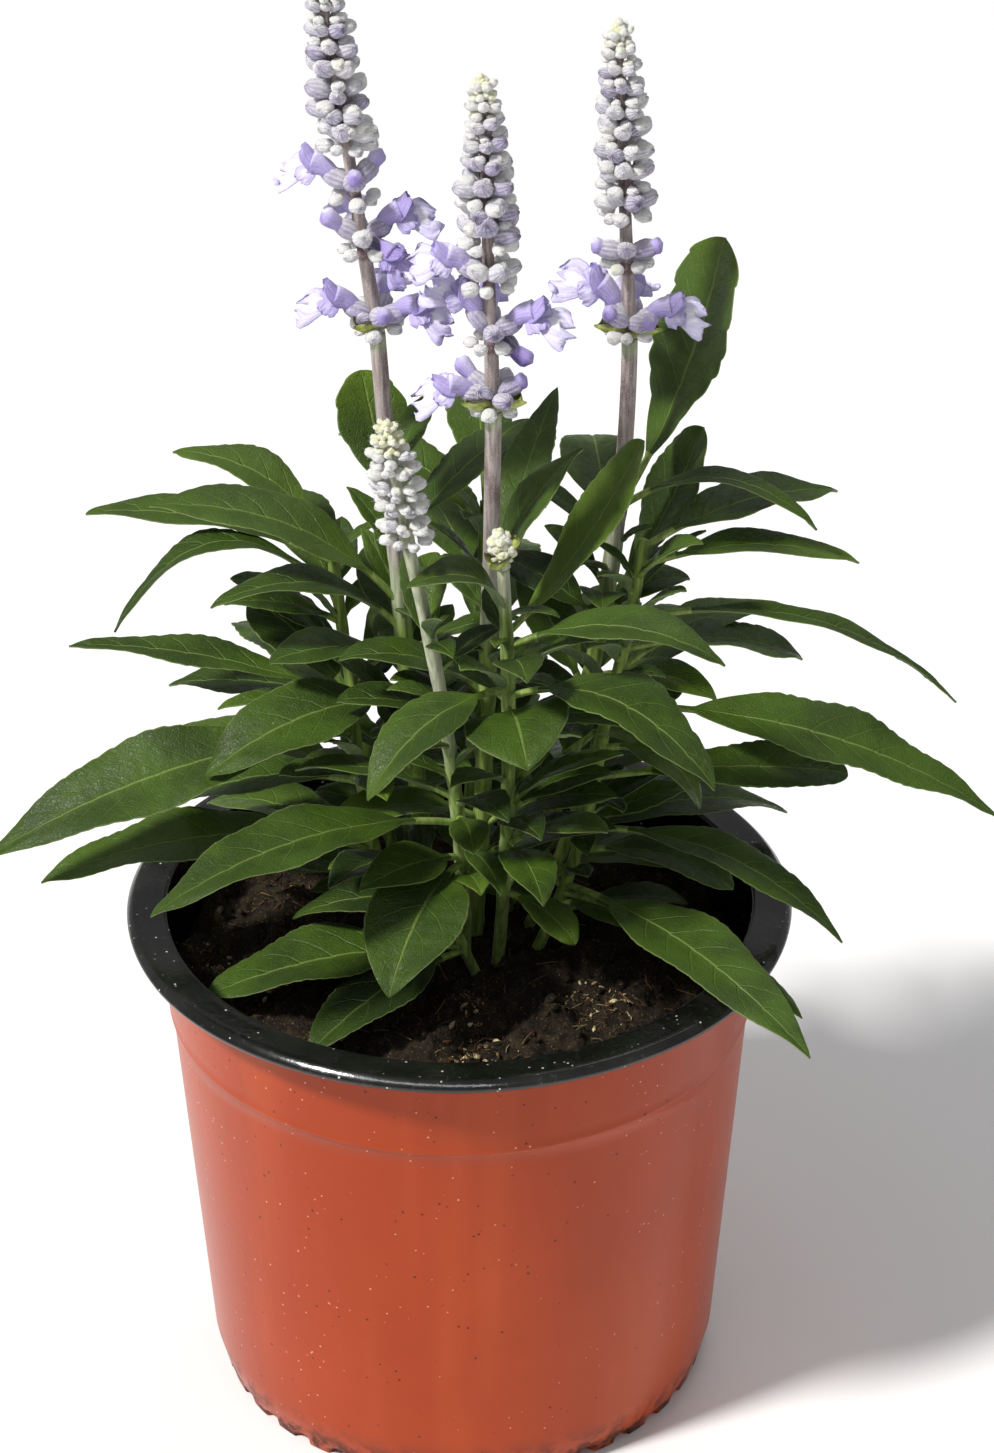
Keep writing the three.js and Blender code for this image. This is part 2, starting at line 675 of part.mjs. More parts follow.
function soil() {
  let body = solidOf(soilBody());
  for (const { path, radius } of Object.values(STEMS)) {
    body = body.subtract(solidOf(stemRod(pathOf(path), radius, GAP)));
  }
  return meshOf(body, 'soil', PEAT);
}

const plant = new THREE.Group();
plant.name = 'potted_sage';
plant.add(pot(), soil());
for (const name of Object.keys(STEMS)) plant.add(leafyStem(name));
for (const name of Object.keys(SPIKES)) plant.add(flowerSpike(name));

export default plant;
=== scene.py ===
"""Potted mealycup sage: fine leaves, flower spikes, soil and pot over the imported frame."""

import math
import random

import bpy
import numpy as np
from mathutils import Matrix, Vector


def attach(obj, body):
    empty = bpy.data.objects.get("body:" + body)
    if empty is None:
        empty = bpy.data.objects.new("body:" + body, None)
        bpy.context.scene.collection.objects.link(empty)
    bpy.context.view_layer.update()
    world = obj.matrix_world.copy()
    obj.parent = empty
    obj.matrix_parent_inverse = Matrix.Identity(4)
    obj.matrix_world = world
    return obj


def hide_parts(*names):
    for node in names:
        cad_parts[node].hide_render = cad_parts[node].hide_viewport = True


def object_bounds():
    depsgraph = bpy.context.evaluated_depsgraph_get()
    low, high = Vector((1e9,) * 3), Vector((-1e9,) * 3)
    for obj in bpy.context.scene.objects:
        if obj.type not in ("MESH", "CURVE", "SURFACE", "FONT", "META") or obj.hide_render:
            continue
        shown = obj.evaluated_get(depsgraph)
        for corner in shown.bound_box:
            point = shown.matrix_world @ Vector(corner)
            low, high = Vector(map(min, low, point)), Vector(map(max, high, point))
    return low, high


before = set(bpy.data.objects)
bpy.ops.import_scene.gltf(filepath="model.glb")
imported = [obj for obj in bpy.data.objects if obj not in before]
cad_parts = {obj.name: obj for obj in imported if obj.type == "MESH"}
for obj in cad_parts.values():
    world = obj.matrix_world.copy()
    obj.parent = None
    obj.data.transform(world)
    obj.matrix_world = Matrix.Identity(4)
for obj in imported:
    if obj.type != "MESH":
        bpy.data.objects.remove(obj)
cad_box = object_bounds()

MM = 0.001
rng = random.Random(14)

# Sizes and tables in millimetres and degrees, as in the CAD source
RIM_RADIUS, POT_HEIGHT, RIM_DEPTH = 70, 113, 2.8
WALL_TOP_RADIUS, WALL_FOOT_RADIUS, FOOT_HEIGHT, FOOT_RADIUS = 63, 55.6, 8, 53.6
BEAD_HEIGHT, BEAD_PROUD, POT_WALL = 90.5, 0.6, 1.2
PAD_RADIUS, RECESS_OUTER_RADIUS, RECESS_DEPTH = 18, 45, 2.2
DRAIN_COUNT = 36
SOIL_HEIGHT, SOIL_LUMP = 97.5, 1.3
STEM_DEPTH, GAP = 12, 0.3
PETIOLE_SHARE, PETIOLE_HALF_WIDTH, LEAF_FOLD = 0.2, 0.8, 0.22

# Sizes of this model alone
BLADE_THICKNESS, STALK_THICKNESS, PETAL_THICKNESS = 0.5, 1.4, 0.26
HAIR_SEAT, CALYX_HAIR_WIDTH, BUD_HAIR_WIDTH = 0.1, 0.055, 0.07
TOOTH_PITCH = (2.7, 3.6)
# Small extra leaves: how far out they go below the rim, how far forward when low, how near to
# their root other points don't count, and how far they stay from other leaves.
BUSH_RADIUS, BUSH_FRONT, OWN_STEM, CLEARANCE = 57, -11, 5, 2.1

# Stem: foot, bend, top, radius, kind (tall flowering, young flowering, leafy).
STEMS = {
    "stem_left_spike": ((-6, 6, 97), (-11, 8, 170), (-15, 5, 239), 1.7, "tall"),
    "stem_middle_spike": ((3, 6, 97), (7, -2, 165), (7.6, -8, 228), 1.7, "tall"),
    "stem_right_spike": ((11, 14, 97), (35, 22, 160), (34.9, 20, 231), 1.7, "tall"),
    "stem_young_spike": ((1, 0, 97), (2, -14, 150), (-9, -22, 206), 1.35, "young"),
    "stem_bud_spike": ((8, -2, 97), (12, -16, 150), (9.4, -22, 201), 1.3, "young"),
    "shoot_left_low": ((-12, 2, 97), (-20, 4, 125), (-22, 4, 160), 1.2, "leafy"),
    "shoot_left_high": ((-8, 14, 97), (-22, 20, 130), (-26, 22, 187), 1.2, "leafy"),
    "shoot_right_low": ((16, 2, 97), (26, 2, 120), (30, 2, 150), 1.2, "leafy"),
    "shoot_right_high": ((14, 10, 97), (32, 10, 140), (38, 12, 190), 1.2, "leafy"),
    "shoot_back": ((0, 18, 97), (4, 28, 140), (6, 30, 190), 1.2, "leafy"),
    "shoot_front": ((4, -8, 97), (2, -10, 103), (0, -12, 110), 1.1, "leafy"),
}

# Leaf: height on the stem, azimuth, length, slope, width, arch, roll, blunt tip.
# Roll and blunt tip are 0 where they are left out.
LEAVES = {
    "stem_left_spike": [
        (108, 160, 42, -2, 14, 5), (122, 92, 45, 6, 14, 7), (138, 158, 34, 14, 10, 5),
        (156, 209, 47, -6, 18, 7, -15), (165, 202, 30, 11, 13, 3, 0, 1), (172, 198, 42, 17, 12, 8),
        (178, 186, 56, 27, 20, 8, -10), (192, 50, 44, 17, 11, 3), (190, 140, 17, 40, 6, 1),
        (198, 110, 31, 52, 17, -2, 0, 2), (206, 60, 22, 35, 7, 2),
    ],
    "stem_middle_spike": [
        (116, 125, 27, 5, 12, 5), (142, 72, 40, 18, 14, 5), (186, 20, 35, 56, 12, 3),
        (180, 70, 53, 39, 10, 3), (172, 24, 53, 50, 15, -3, 0, 2), (160, 196, 34, 25, 14, 5),
        (148, -10, 34, 15, 15, 5), (130, 205, 36, 10, 14, 5),
    ],
    "stem_right_spike": [
        (120, 50, 45, 2, 16, 7), (146, 78, 44, 10, 16, 6), (154, -20, 28, 0, 12, 4),
        (193, -12, 41, -1, 8, 9), (193, 38, 59, 63, 23, -4, -5, 2), (170, 30, 43, 57, 16, -2, 0, 2),
        (168, 10, 20, 22, 13, 3, 0, 1), (165, 8, 31, 45, 8, 2), (140, -25, 27, -8, 12, 6),
        (184, 95, 42, 8, 16, 7),
    ],
    "stem_young_spike": [
        (110, 185, 36, 2, 13, 5), (136, 216, 74, 4, 19, 7, -5), (125, -112, 40, -14, 21, 5),
        (120, -75, 16, 20, 9, 2),
    ],
    "stem_bud_spike": [
        (172, -140, 38, -18, 18, 6), (166, -82, 26, 4, 24, 4, 10), (170, -35, 49, -6, 19, 10),
        (182, -15, 44, 3, 16, 7), (184, 195, 25, 36, 13, 8), (118, -40, 20, -15, 10, 2, 0, 1),
        (140, 20, 24, 10, 11, 3),
    ],
    "shoot_left_low": [
        (150, 197, 81, -12, 24, 9, -25), (122, 192, 70, 1, 17, 7, -5), (158, 174, 59, 9, 14, 3),
        (154, 188, 28, 8, 8, 3), (138, 178, 40, -9, 15, 4), (118, 145, 46, 0, 14, 6),
    ],
    "shoot_left_high": [
        (185, 160, 38, 23, 14, 5), (180, 178, 52, 12, 12, 4, 0, 1), (172, 192, 47, -3, 13, 17),
        (148, 160, 31, 42, 17, 3, -15, 2), (148, 172, 40, 2, 14, 3), (140, 125, 52, 5, 16, 7),
        (168, 115, 44, 15, 15, 7), (126, 158, 56, 0, 16, 8),
    ],
    "shoot_right_low": [
        (114, -52, 77, -2, 22, 6), (112, -44, 66, -1, 12, 5), (122, -14, 34, -7, 14, 4, 0, 1),
        (128, -20, 59, -16, 17, 7), (140, 5, 53, -2, 13, 3, 20, 2), (147, -22, 24, -24, 13, 6),
    ],
    "shoot_right_high": [
        (112, -10, 40, 6, 14, 5), (152, -8, 84, -14, 22, 9, 15), (165, 15, 40, -11, 15, 4, 0, 1),
        (172, 0, 71, -16, 13, 10), (160, 35, 45, 2, 12, 4), (184, 8, 46, -3, 14, 4),
        (188, 26, 46, 4, 16, 4), (150, 60, 52, 0, 16, 7), (132, 75, 56, -5, 17, 9),
        (118, 20, 52, -2, 16, 7),
    ],
    "shoot_back": [
        (112, 60, 45, 5, 16, 6), (114, 130, 45, 5, 16, 6), (150, 80, 56, 5, 17, 8),
        (166, 112, 48, 12, 16, 7), (180, 70, 42, 16, 14, 5), (182, 145, 40, 20, 14, 5),
        (128, 100, 62, -4, 18, 10), (190, 95, 30, 30, 14, 3, 0, 1),
    ],
    "shoot_front": [
        (107, 192, 55, -5, 20, 3), (106, -136, 44, -7, 16, 3),
    ],
}
for rows in LEAVES.values():
    rows[:] = [row + (0,) * (8 - len(row)) for row in rows]

# Leaves that are slimmer here than their solids, by stem and place in its list: the share of the
# width that is kept, how much the outer half tapers, and how coarse the teeth are.
PLAIN = (1, 0, 1)
LEAF_FORMS = {
    "stem_left_spike": {6: (0.86, 0.1, 1), 9: (0.88, 0, 2)},
    "shoot_left_low": {0: (0.8, 0.3, 1), 2: (0.85, 0.1, 1)},
    "shoot_left_high": {2: (0.72, 0.2, 1)},
    "shoot_right_low": {0: (0.82, 0.2, 1), 3: (0.75, 0.1, 1)},
    "shoot_right_high": {1: (0.78, 0.3, 1), 3: (0.6, 0.45, 1), 5: (0.85, 0.1, 1)},
    "stem_right_spike": {4: (0.98, 0, 2.6)},
    "stem_young_spike": {1: (0.92, 0.15, 1)},
    "stem_bud_spike": {0: (0.84, 0.2, 1.5), 1: (0.88, 0, 1), 2: (0.94, 0.1, 1.6), 3: (0.92, 0.1, 1.3)},
}

# Spike: foot, tip, radius, whorl heights, flowers (whorl, azimuth, rise, size, open), bracts.
SPIKES = {
    "flowers_left": (
        (-15, 5, 239.3), (-25, 5, 316), 7,
        (2.7, 19.4, 30.2, 40.5, 44.8, 49.1, 53.3, 57.5, 61.6, 65.6, 69.5, 73.2),
        ((0, 187, 25, 1, 1), (0, 352, 12, 1, 1), (0, 290, 20, 0.6, 0), (0, 70, 30, 0.9, 1),
         (1, 5, 28, 1, 1), (1, 325, -20, 0.8, 1), (1, 200, 35, 0.8, 0), (1, 110, 30, 0.9, 1),
         (2, 172, 22, 1, 1), (2, 20, 45, 0.7, 0), (2, 275, 30, 0.6, 0)),
        (235, 20),
    ),
    "flowers_middle": (
        (7.6, -8, 228.3), (5.8, -8, 297), 7.1,
        (2.6, 16.2, 27.9, 36.3, 40.7, 45.2, 49.6, 53.8, 57.9, 61.7, 65.1),
        ((0, 190, 12, 1, 1), (0, 150, 35, 0.8, 0), (0, 5, 25, 0.6, 0), (1, 178, 50, 1, 1),
         (1, 350, 22, 1.05, 1), (1, 340, -35, 0.8, 0), (1, 90, 30, 0.9, 1), (2, 186, 22, 1, 1)),
        (215, 330),
    ),
    "flowers_right": (
        (34.9, 20, 231.3), (31.8, 20, 298), 6.8,
        (2.6, 17.6, 28, 34, 38.4, 42.8, 47.1, 51.3, 55.3, 59.1, 62.7),
        ((0, 178, 48, 1.15, 1), (0, 355, 18, 1, 1), (0, 310, 15, 0.6, 0), (0, 220, 30, 0.6, 0),
         (0, 80, 30, 0.9, 1), (1, 190, 15, 0.6, 0), (1, 350, 15, 0.6, 0)),
        (195, 330),
    ),
    "flowers_young": (
        (-9, -22, 206.3), (-13, -24, 234), 6.4,
        (3, 7.2, 11.3, 15.3, 19.1, 22.6, 25.4),
        (),
        (),
    ),
    "flowers_bud": (
        (9.4, -22, 201.3), (8.3, -22.5, 209.5), 3.2,
        (2.8, 5.6),
        (),
        (250, 70),
    ),
}


# Mesh building
def vec(*xyz):
    return np.array(xyz, float)


def heading(azimuth, rise):
    a, r = math.radians(azimuth), math.radians(rise)
    return vec(math.cos(r) * math.cos(a), math.cos(r) * math.sin(a), math.sin(r))


def unit(v):
    return v / (np.linalg.norm(v, axis=-1, keepdims=True) + 1e-12)


def smooth(lo, hi, x):
    x = np.clip((x - lo) / (hi - lo), 0, 1)
    return x * x * (3 - 2 * x)


def column(n):
    """Shares from 0 to 1, one a row."""
    return np.linspace(0, 1, n)[:, None]


def circle(n):
    return np.linspace(0, 2 * np.pi, n, endpoint=False)


def pairs(one, two):
    return np.stack(np.broadcast_arrays(one, two), -1)


def placed(root, axes, along, wide, high):
    """Points at distances from root along three axes."""
    return sum((axis * size[..., None] for axis, size in zip(axes, (along, wide, high))), root)


def add_object(name, data):
    thing = bpy.data.objects.new(name, data)
    bpy.context.collection.objects.link(thing)
    return thing


class Piece:
    """Collects grids of points in millimetres, with slots, UVs and tones, as one mesh."""

    def __init__(self, name, materials):
        self.name, self.materials = name, materials
        self.points, self.faces, self.slots, self.uvs, self.tones = [], [], [], [], []
        self.count = 0

    def grid(self, points, slot, uv=None, tone=0.5, cap=True):
        """Adds a skin of n rings of m points, (n, m, 3). slot is one number, or one for each face."""
        n, m = points.shape[:2]
        index = self.count + np.arange(n * m).reshape(n, m)
        index = np.concatenate([index, index[:, :1]], 1)
        quads = np.stack([index[:-1, :-1], index[:-1, 1:], index[1:, 1:], index[1:, :-1]], -1)
        slots = np.broadcast_to(slot, quads.shape[:2])
        self.faces += quads.reshape(-1, 4).tolist()
        self.slots += slots.ravel().tolist()
        if cap:
            self.faces += [index[0, :-1][::-1].tolist(), index[-1, :-1].tolist()]
            self.slots += [int(slots[0, 0]), int(slots[-1, 0])]
        self.points.append(points.reshape(-1, 3))
        self.uvs.append(np.zeros((n * m, 2)) if uv is None else uv.reshape(-1, 2))
        self.tones.append(np.broadcast_to(tone, (n, m)).ravel())
        self.count += n * m

    def sheet(self, top, under, slot, uv, tone):
        """Adds a thin closed sheet from the points of its two sides."""
        points, uv = (np.concatenate([a, b[:, ::-1]], 1) for a, b in ((top, under), (uv, uv)))
        self.grid(points, slot, uv, tone)

    def hairs(self, roots, tips, width, slot, tone):
        """Thin three-sided hairs from roots to tips, each closed at its root."""
        along = unit(tips - roots)
        one = unit(np.cross(along, vec(0.31, 0.52, 0.79)))
        two = np.cross(along, one)
        corners = [roots + width / 2 * (math.cos(a) * one + math.sin(a) * two) for a in (0, 2.1, 4.2)]
        n = len(roots)
        index = self.count + np.arange(n)
        for a, b, c in ((0, 1, 3), (1, 2, 3), (2, 0, 3), (0, 2, 1)):
            self.faces += np.stack([index + a * n, index + b * n, index + c * n], -1).tolist()
        self.slots += [slot] * (4 * n)
        self.points.append(np.concatenate(corners + [tips]))
        self.uvs.append(np.zeros((4 * n, 2)))
        self.tones.append(np.full(4 * n, tone))
        self.count += 4 * n

    def build(self, *nodes, slot):
        mesh = bpy.data.meshes.new(self.name)
        points = np.clip(np.concatenate(self.points) * MM, *cad_box)
        mesh.from_pydata(points.tolist(), [], self.faces)
        for material in self.materials:
            mesh.materials.append(material)
        mesh.polygons.foreach_set("material_index", self.slots)
        mesh.polygons.foreach_set("use_smooth", [True] * len(self.faces))
        uvs = np.concatenate(self.uvs)
        loops = np.empty(len(mesh.loops), int)
        mesh.loops.foreach_get("vertex_index", loops)
        mesh.uv_layers.new(name="UVMap").data.foreach_set("uv", uvs[loops].reshape(-1))
        tone = mesh.attributes.new("tone", "FLOAT", "POINT")
        tone.data.foreach_set("value", np.concatenate(self.tones))
        mesh.validate()
        piece = add_object(self.name, mesh)
        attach(piece, "root")
        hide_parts(*nodes)
        return piece


# Materials
def srgb(r, g, b):
    def linear(c):
        c /= 255
        return c / 12.92 if c <= 0.04045 else ((c + 0.055) / 1.055) ** 2.4
    return (linear(r), linear(g), linear(b), 1)


class Shade:
    """A node material, written as nested calls. Sockets take numbers, links or 0 to 255 colours."""

    def __init__(self, name, specular=0.5, **fixed):
        self.material = bpy.data.materials.new(name)
        self.material.use_nodes = True
        self.tree = self.material.node_tree
        self.bsdf = self.tree.nodes["Principled BSDF"]
        self.bsdf.inputs["Specular IOR Level"].default_value = specular
        for key, value in fixed.items():
            self.bsdf.inputs[key.replace("_", " ")].default_value = value
        coords = self.node("TexCoord")
        self.object, self.uv = coords.outputs["Object"], coords.outputs["UV"]

    def put(self, socket, value):
        if isinstance(value, bpy.types.NodeSocket):
            self.tree.links.new(value, socket)
        else:
            socket.default_value = srgb(*value) if socket.type == "RGBA" else value

    def node(self, kind, **inputs):
        node = self.tree.nodes.new("ShaderNode" + kind)
        for name, value in inputs.items():
            self.put(node.inputs[name.replace("_", " ")], value)
        return node

    def math(self, operation, *values):
        node = self.node("Math")
        node.operation = operation
        for socket, value in zip(node.inputs, values):
            self.put(socket, value)
        return node.outputs[0]

    def plus(self, one, two):
        return self.math("ADD", one, two)

    def minus(self, one, two):
        return self.math("SUBTRACT", one, two)

    def times(self, one, two):
        return self.math("MULTIPLY", one, two)

    def spread(self, value, low, high):
        """A value from 0 to 1, spread from low to high."""
        return self.plus(self.times(value, high - low), low)

    def across(self, v):
        """0 along the middle of a strip and 1 at its edges, where V runs from edge to edge."""
        return self.math("ABSOLUTE", self.minus(self.times(v, 2), 1))

    def step(self, value, low, high):
        """0 below low and 1 above high, smooth between; low may be the higher one."""
        node = self.node("MapRange", Value=value, From_Min=min(low, high), From_Max=max(low, high),
                         To_Min=int(low > high), To_Max=int(low < high))
        node.interpolation_type = "SMOOTHSTEP"
        return node.outputs["Result"]

    def mix(self, factor, one, two):
        node = self.node("Mix")
        node.data_type = "RGBA"
        for index, value in ((0, factor), (6, one), (7, two)):
            self.put(node.inputs[index], value)
        return node.outputs[2]

    def over(self, mask, color, share=1):
        """Lays a share of another colour over the material's own, where the mask is 1."""
        self.color = self.mix(mask if share == 1 else self.times(mask, share), self.color, color)

    def noise(self, scale, detail=3, roughness=0.55, stretch=None):
        source = self.object
        if stretch:
            source = self.node("Mapping", Vector=source, Scale=stretch).outputs[0]
        node = self.node("TexNoise", Vector=source, Scale=scale, Detail=detail, Roughness=roughness)
        return node.outputs["Fac"]

    def cells(self, scale, feature="F1"):
        node = self.node("TexVoronoi", Vector=self.object, Scale=scale)
        node.feature = feature
        return node.outputs["Distance"]

    def tone(self):
        node = self.node("Attribute")
        node.attribute_name = "tone"
        return node.outputs["Fac"]

    def part(self, source, index):
        return self.node("SeparateXYZ", Vector=source).outputs[index]

    def bump(self, height, strength, distance):
        node = self.node("Bump", Height=height, Strength=strength, Distance=distance)
        self.tree.links.new(node.outputs[0], self.bsdf.inputs["Normal"])

    def finish(self, roughness):
        self.put(self.bsdf.inputs["Base Color"], self.color)
        self.put(self.bsdf.inputs["Roughness"], roughness)
        return self.material


def leaf_veins(s):
    """Masks of a leaf's midrib and side veins. U counts side veins, V runs across."""
    across = s.across(s.part(s.uv, 1))
    midrib = s.step(across, 0.05, 0.01)
    phase = s.plus(s.part(s.uv, 0), s.times(s.noise(130, 2), 0.3))
    side = s.step(s.math("PINGPONG", phase, 0.5), 0.055, 0.01)
    return across, midrib, s.times(side, s.step(across, 0.95, 0.5))


def leaf_top():
    s = Shade("leaf_top", 0.27)
    across, midrib, side = leaf_veins(s)
    tone = s.tone()
    s.color = s.mix(s.step(s.noise(60), 0.35, 0.65), (46, 66, 14), (64, 89, 19))
    # The tone is the leaf's own random colour and its yellower stalk end, with painted light added: sunlit
    # tips get a higher, yellower tone, and the leaves inside the bush a lower, darker one.
    s.over(s.step(tone, 0.5, 1.1), (92, 120, 28))
    s.over(s.step(tone, 0.4, 0.0), (32, 48, 14))
    s.over(s.step(across, 0.3, 0.0), (74, 102, 32), 0.2)
    net = s.step(s.cells(1300, "DISTANCE_TO_EDGE"), 0.12, 0.02)
    s.over(net, (76, 104, 38), 0.1)
    s.over(side, (98, 128, 50), 0.26)
    # Pale edge: partly the leaf's own pale, hairy margin, partly a painted highlight of the sunlit fringe.
    s.over(s.step(across, 0.95, 1.0), (138, 152, 92), 0.5)
    s.over(midrib, (130, 150, 76), 0.55)
    spot = s.times(s.step(s.cells(260), 0.07, 0.03), s.step(s.noise(80, 2), 0.6, 0.66))
    s.over(spot, (150, 164, 72), 0.7)
    # Pale mealy dust where the tone is high, so on the painted sunlit tips it also stands for painted sunlit
    # speckles.
    dust = s.times(s.step(s.noise(3400, 2), 0.58, 0.72), s.step(tone, 0.45, 1.0))
    s.over(dust, (168, 180, 112), 0.3)
    height = s.plus(s.times(s.noise(2200), 0.35), s.times(s.noise(620), 0.9))
    for mask, depth in ((side, 0.6), (net, 0.2), (midrib, 0.8)):
        height = s.minus(height, s.times(mask, depth))
    s.bump(height, 0.7, 0.0004)
    return s.finish(s.spread(s.noise(800), 0.2, 0.7))


def leaf_under():
    s = Shade("leaf_under", 0.3, Sheen_Weight=0.2, Sheen_Roughness=0.5)
    _, midrib, side = leaf_veins(s)
    patch = s.step(s.noise(60), 0.35, 0.7)
    s.color = s.mix(patch, (82, 108, 56), (106, 130, 74))
    s.over(side, (150, 168, 106), 0.5)
    s.over(midrib, (168, 182, 118), 0.8)
    height = s.plus(s.times(side, 0.7), s.times(midrib, 0.6))
    height = s.plus(height, s.times(s.noise(2400, 2), 0.4))
    s.bump(height, 0.6, 0.0003)
    return s.finish(s.spread(patch, 0.56, 0.68))


def petiole():
    s = Shade("petiole", 0.4)
    stripe = s.noise(900, 2, stretch=(1, 1, 0.12))
    s.color = s.mix(s.step(stripe, 0.35, 0.65), (112, 140, 62), (150, 170, 92))
    s.bump(stripe, 0.4, 0.0002)
    return s.finish(s.spread(stripe, 0.4, 0.6))


def stem_skin():
    """Tone 0 is green, 0.35 pale and mealy, 0.7 mauve and 1 purple-brown."""
    s = Shade("stem_skin", 0.3, Sheen_Weight=0.3, Sheen_Roughness=0.5)
    tone = s.tone()
    stripe = s.noise(1100, 2, stretch=(1, 1, 0.06))
    band = s.step(stripe, 0.3, 0.7)
    green = s.mix(band, (96, 120, 42), (150, 174, 80))
    pale = s.mix(band, (142, 150, 118), (192, 196, 168))
    mauve = s.mix(band, (126, 110, 108), (182, 170, 166))
    brown = s.mix(band, (74, 44, 50), (112, 84, 90))
    blotch = s.step(s.noise(110, 4, stretch=(1, 1, 0.5)), 0.52, 0.62)
    mauve = s.mix(s.times(blotch, 0.7), mauve, brown)
    s.color = s.mix(s.step(tone, 0.05, 0.32), green, pale)
    s.over(s.step(tone, 0.4, 0.66), mauve)
    s.over(s.step(tone, 0.75, 0.98), brown)
    powder = s.times(s.step(s.noise(3200, 2), 0.5, 0.7), s.step(tone, 0.1, 0.5))
    s.over(powder, (222, 218, 210), 0.3)
    s.bump(s.plus(stripe, s.times(powder, 0.3)), 0.5, 0.00025)
    return s.finish(s.spread(stripe, 0.56, 0.76))


def mealy():
    """White felt over lilac: tone 0 is cream, 0.2 white, 0.5 pale lilac, 0.8 lilac, 1 dark violet."""
    s = Shade("mealy", 0.15, Sheen_Weight=0.9, Sheen_Roughness=0.5)
    tone = s.minus(s.plus(s.tone(), s.times(s.noise(520, 4), 0.36)), 0.18)
    felt = s.noise(1700, 5, 0.75)
    rib = s.step(s.math("PINGPONG", s.times(s.part(s.uv, 1), 6), 0.5), 0.12, 0.4)
    s.color = s.mix(s.step(tone, 0.03, 0.16), (251, 252, 200), (251, 251, 248))
    s.over(s.step(tone, 0.22, 0.5), (228, 224, 240))
    s.over(s.step(tone, 0.5, 0.8), (182, 170, 214))
    s.over(s.step(tone, 0.8, 1.0), (74, 60, 102))
    wool = s.times(s.step(felt, 0.46, 0.7), s.step(tone, 1.0, 0.7))
    s.over(wool, (252, 251, 250), 0.75)
    # Darker in the grooves between the ribs of coloured calyces: painted shade.
    groove_shade = s.times(s.step(rib, 0.5, 0.0), s.step(tone, 0.3, 0.6))
    s.over(groove_shade, (96, 84, 120), 0.3)
    # Greyer where the felt lies low: painted shade in its hollows.
    s.over(s.step(felt, 0.46, 0.34), (120, 112, 122), 0.07)
    rib = s.times(rib, s.times(s.step(tone, 0.1, 0.5), 0.4))
    s.bump(s.plus(felt, rib), 1.0, 0.0006)
    return s.finish(s.spread(felt, 0.86, 0.98))


def corolla():
    """Violet petals: U runs along and V across; tone 0 is pale and 1 deep."""
    s = Shade("corolla", 0.25, Sheen_Weight=0.25, Sheen_Roughness=0.4)
    u, v, tone = s.part(s.uv, 0), s.part(s.uv, 1), s.tone()
    across = s.across(v)
    s.color = s.mix(s.step(tone, 0.0, 0.4), (224, 219, 245), (181, 169, 221))
    s.over(s.step(tone, 0.4, 0.75), (153, 136, 198))
    s.over(s.step(tone, 0.75, 1.0), (86, 68, 130))
    heart = s.times(s.step(across, 0.5, 0.1), s.step(u, 0.2, 0.4))
    heart = s.times(heart, s.times(s.step(u, 0.95, 0.6), s.step(tone, 0.35, 0.1)))
    s.over(heart, (248, 247, 253), 0.9)
    hem = s.math("MAXIMUM", s.step(across, 0.8, 1.0), s.step(u, 0.82, 1.0))
    s.over(hem, (158, 144, 212), 0.3)
    vein = s.step(s.math("PINGPONG", s.times(v, 9), 0.5), 0.12, 0.0)
    s.over(vein, (112, 94, 168), s.spread(s.step(tone, 0.1, 0.5), 0.05, 0.19))
    mottle = s.noise(800)
    s.over(s.step(mottle, 0.5, 0.8), (208, 201, 236), 0.3)
    s.bump(s.plus(mottle, s.times(vein, -0.25)), 0.7, 0.0004)
    return s.finish(s.spread(mottle, 0.5, 0.7))


def bract():
    s = Shade("bract", 0.35)
    patch = s.step(s.noise(500), 0.4, 0.65)
    s.color = s.mix(patch, (138, 152, 66), (188, 196, 116))
    s.over(s.step(s.across(s.part(s.uv, 1)), 0.75, 1.0), (84, 78, 58))
    s.bump(patch, 0.4, 0.0002)
    return s.finish(s.spread(patch, 0.52, 0.68))


def pot_skin():
    s = Shade("pot_skin", 0.2, Coat_Weight=0.12, Coat_Roughness=0.16)
    cloud = s.noise(14, 4)
    s.color = s.mix(s.step(cloud, 0.35, 0.7), (160, 58, 18), (175, 67, 23))
    streak = s.step(s.noise(60, stretch=(1, 1, 0.08)), 0.5, 0.75)
    s.over(streak, (194, 88, 44), 0.25)
    dark = s.times(s.step(s.cells(330), 0.13, 0.06), s.step(s.noise(90, 2), 0.47, 0.55))
    s.over(dark, (70, 30, 20))
    pale = s.times(s.step(s.cells(420), 0.12, 0.05), s.step(s.noise(70, 2), 0.48, 0.58))
    s.over(pale, (230, 182, 158), 0.75)
    # Darker, rougher patches in the lowest 12 mm of the pot.
    foot_darkening = s.times(s.step(s.part(s.object, 2), 0.012, 0.0), s.step(s.noise(260, 4), 0.42, 0.6))
    s.over(foot_darkening, (58, 32, 22))
    s.bump(s.noise(420), 0.12, 0.0004)
    rough = s.plus(s.times(cloud, 0.2), s.times(foot_darkening, 0.3))
    return s.finish(s.plus(rough, 0.24))


def pot_black():
    s = Shade("pot_black", 0.5)
    cloud = s.noise(90, 4)
    s.color = s.mix(s.step(cloud, 0.4, 0.7), (14, 14, 13), (28, 28, 26))
    dust = s.times(s.step(s.cells(520), 0.16, 0.07), s.step(s.noise(160), 0.5, 0.58))
    s.over(dust, (206, 206, 200))
    s.over(s.step(s.noise(700, 4), 0.55, 0.75), (120, 119, 112), 0.1)
    s.bump(s.noise(700), 0.15, 0.0003)
    return s.finish(s.spread(cloud, 0.1, 0.26))


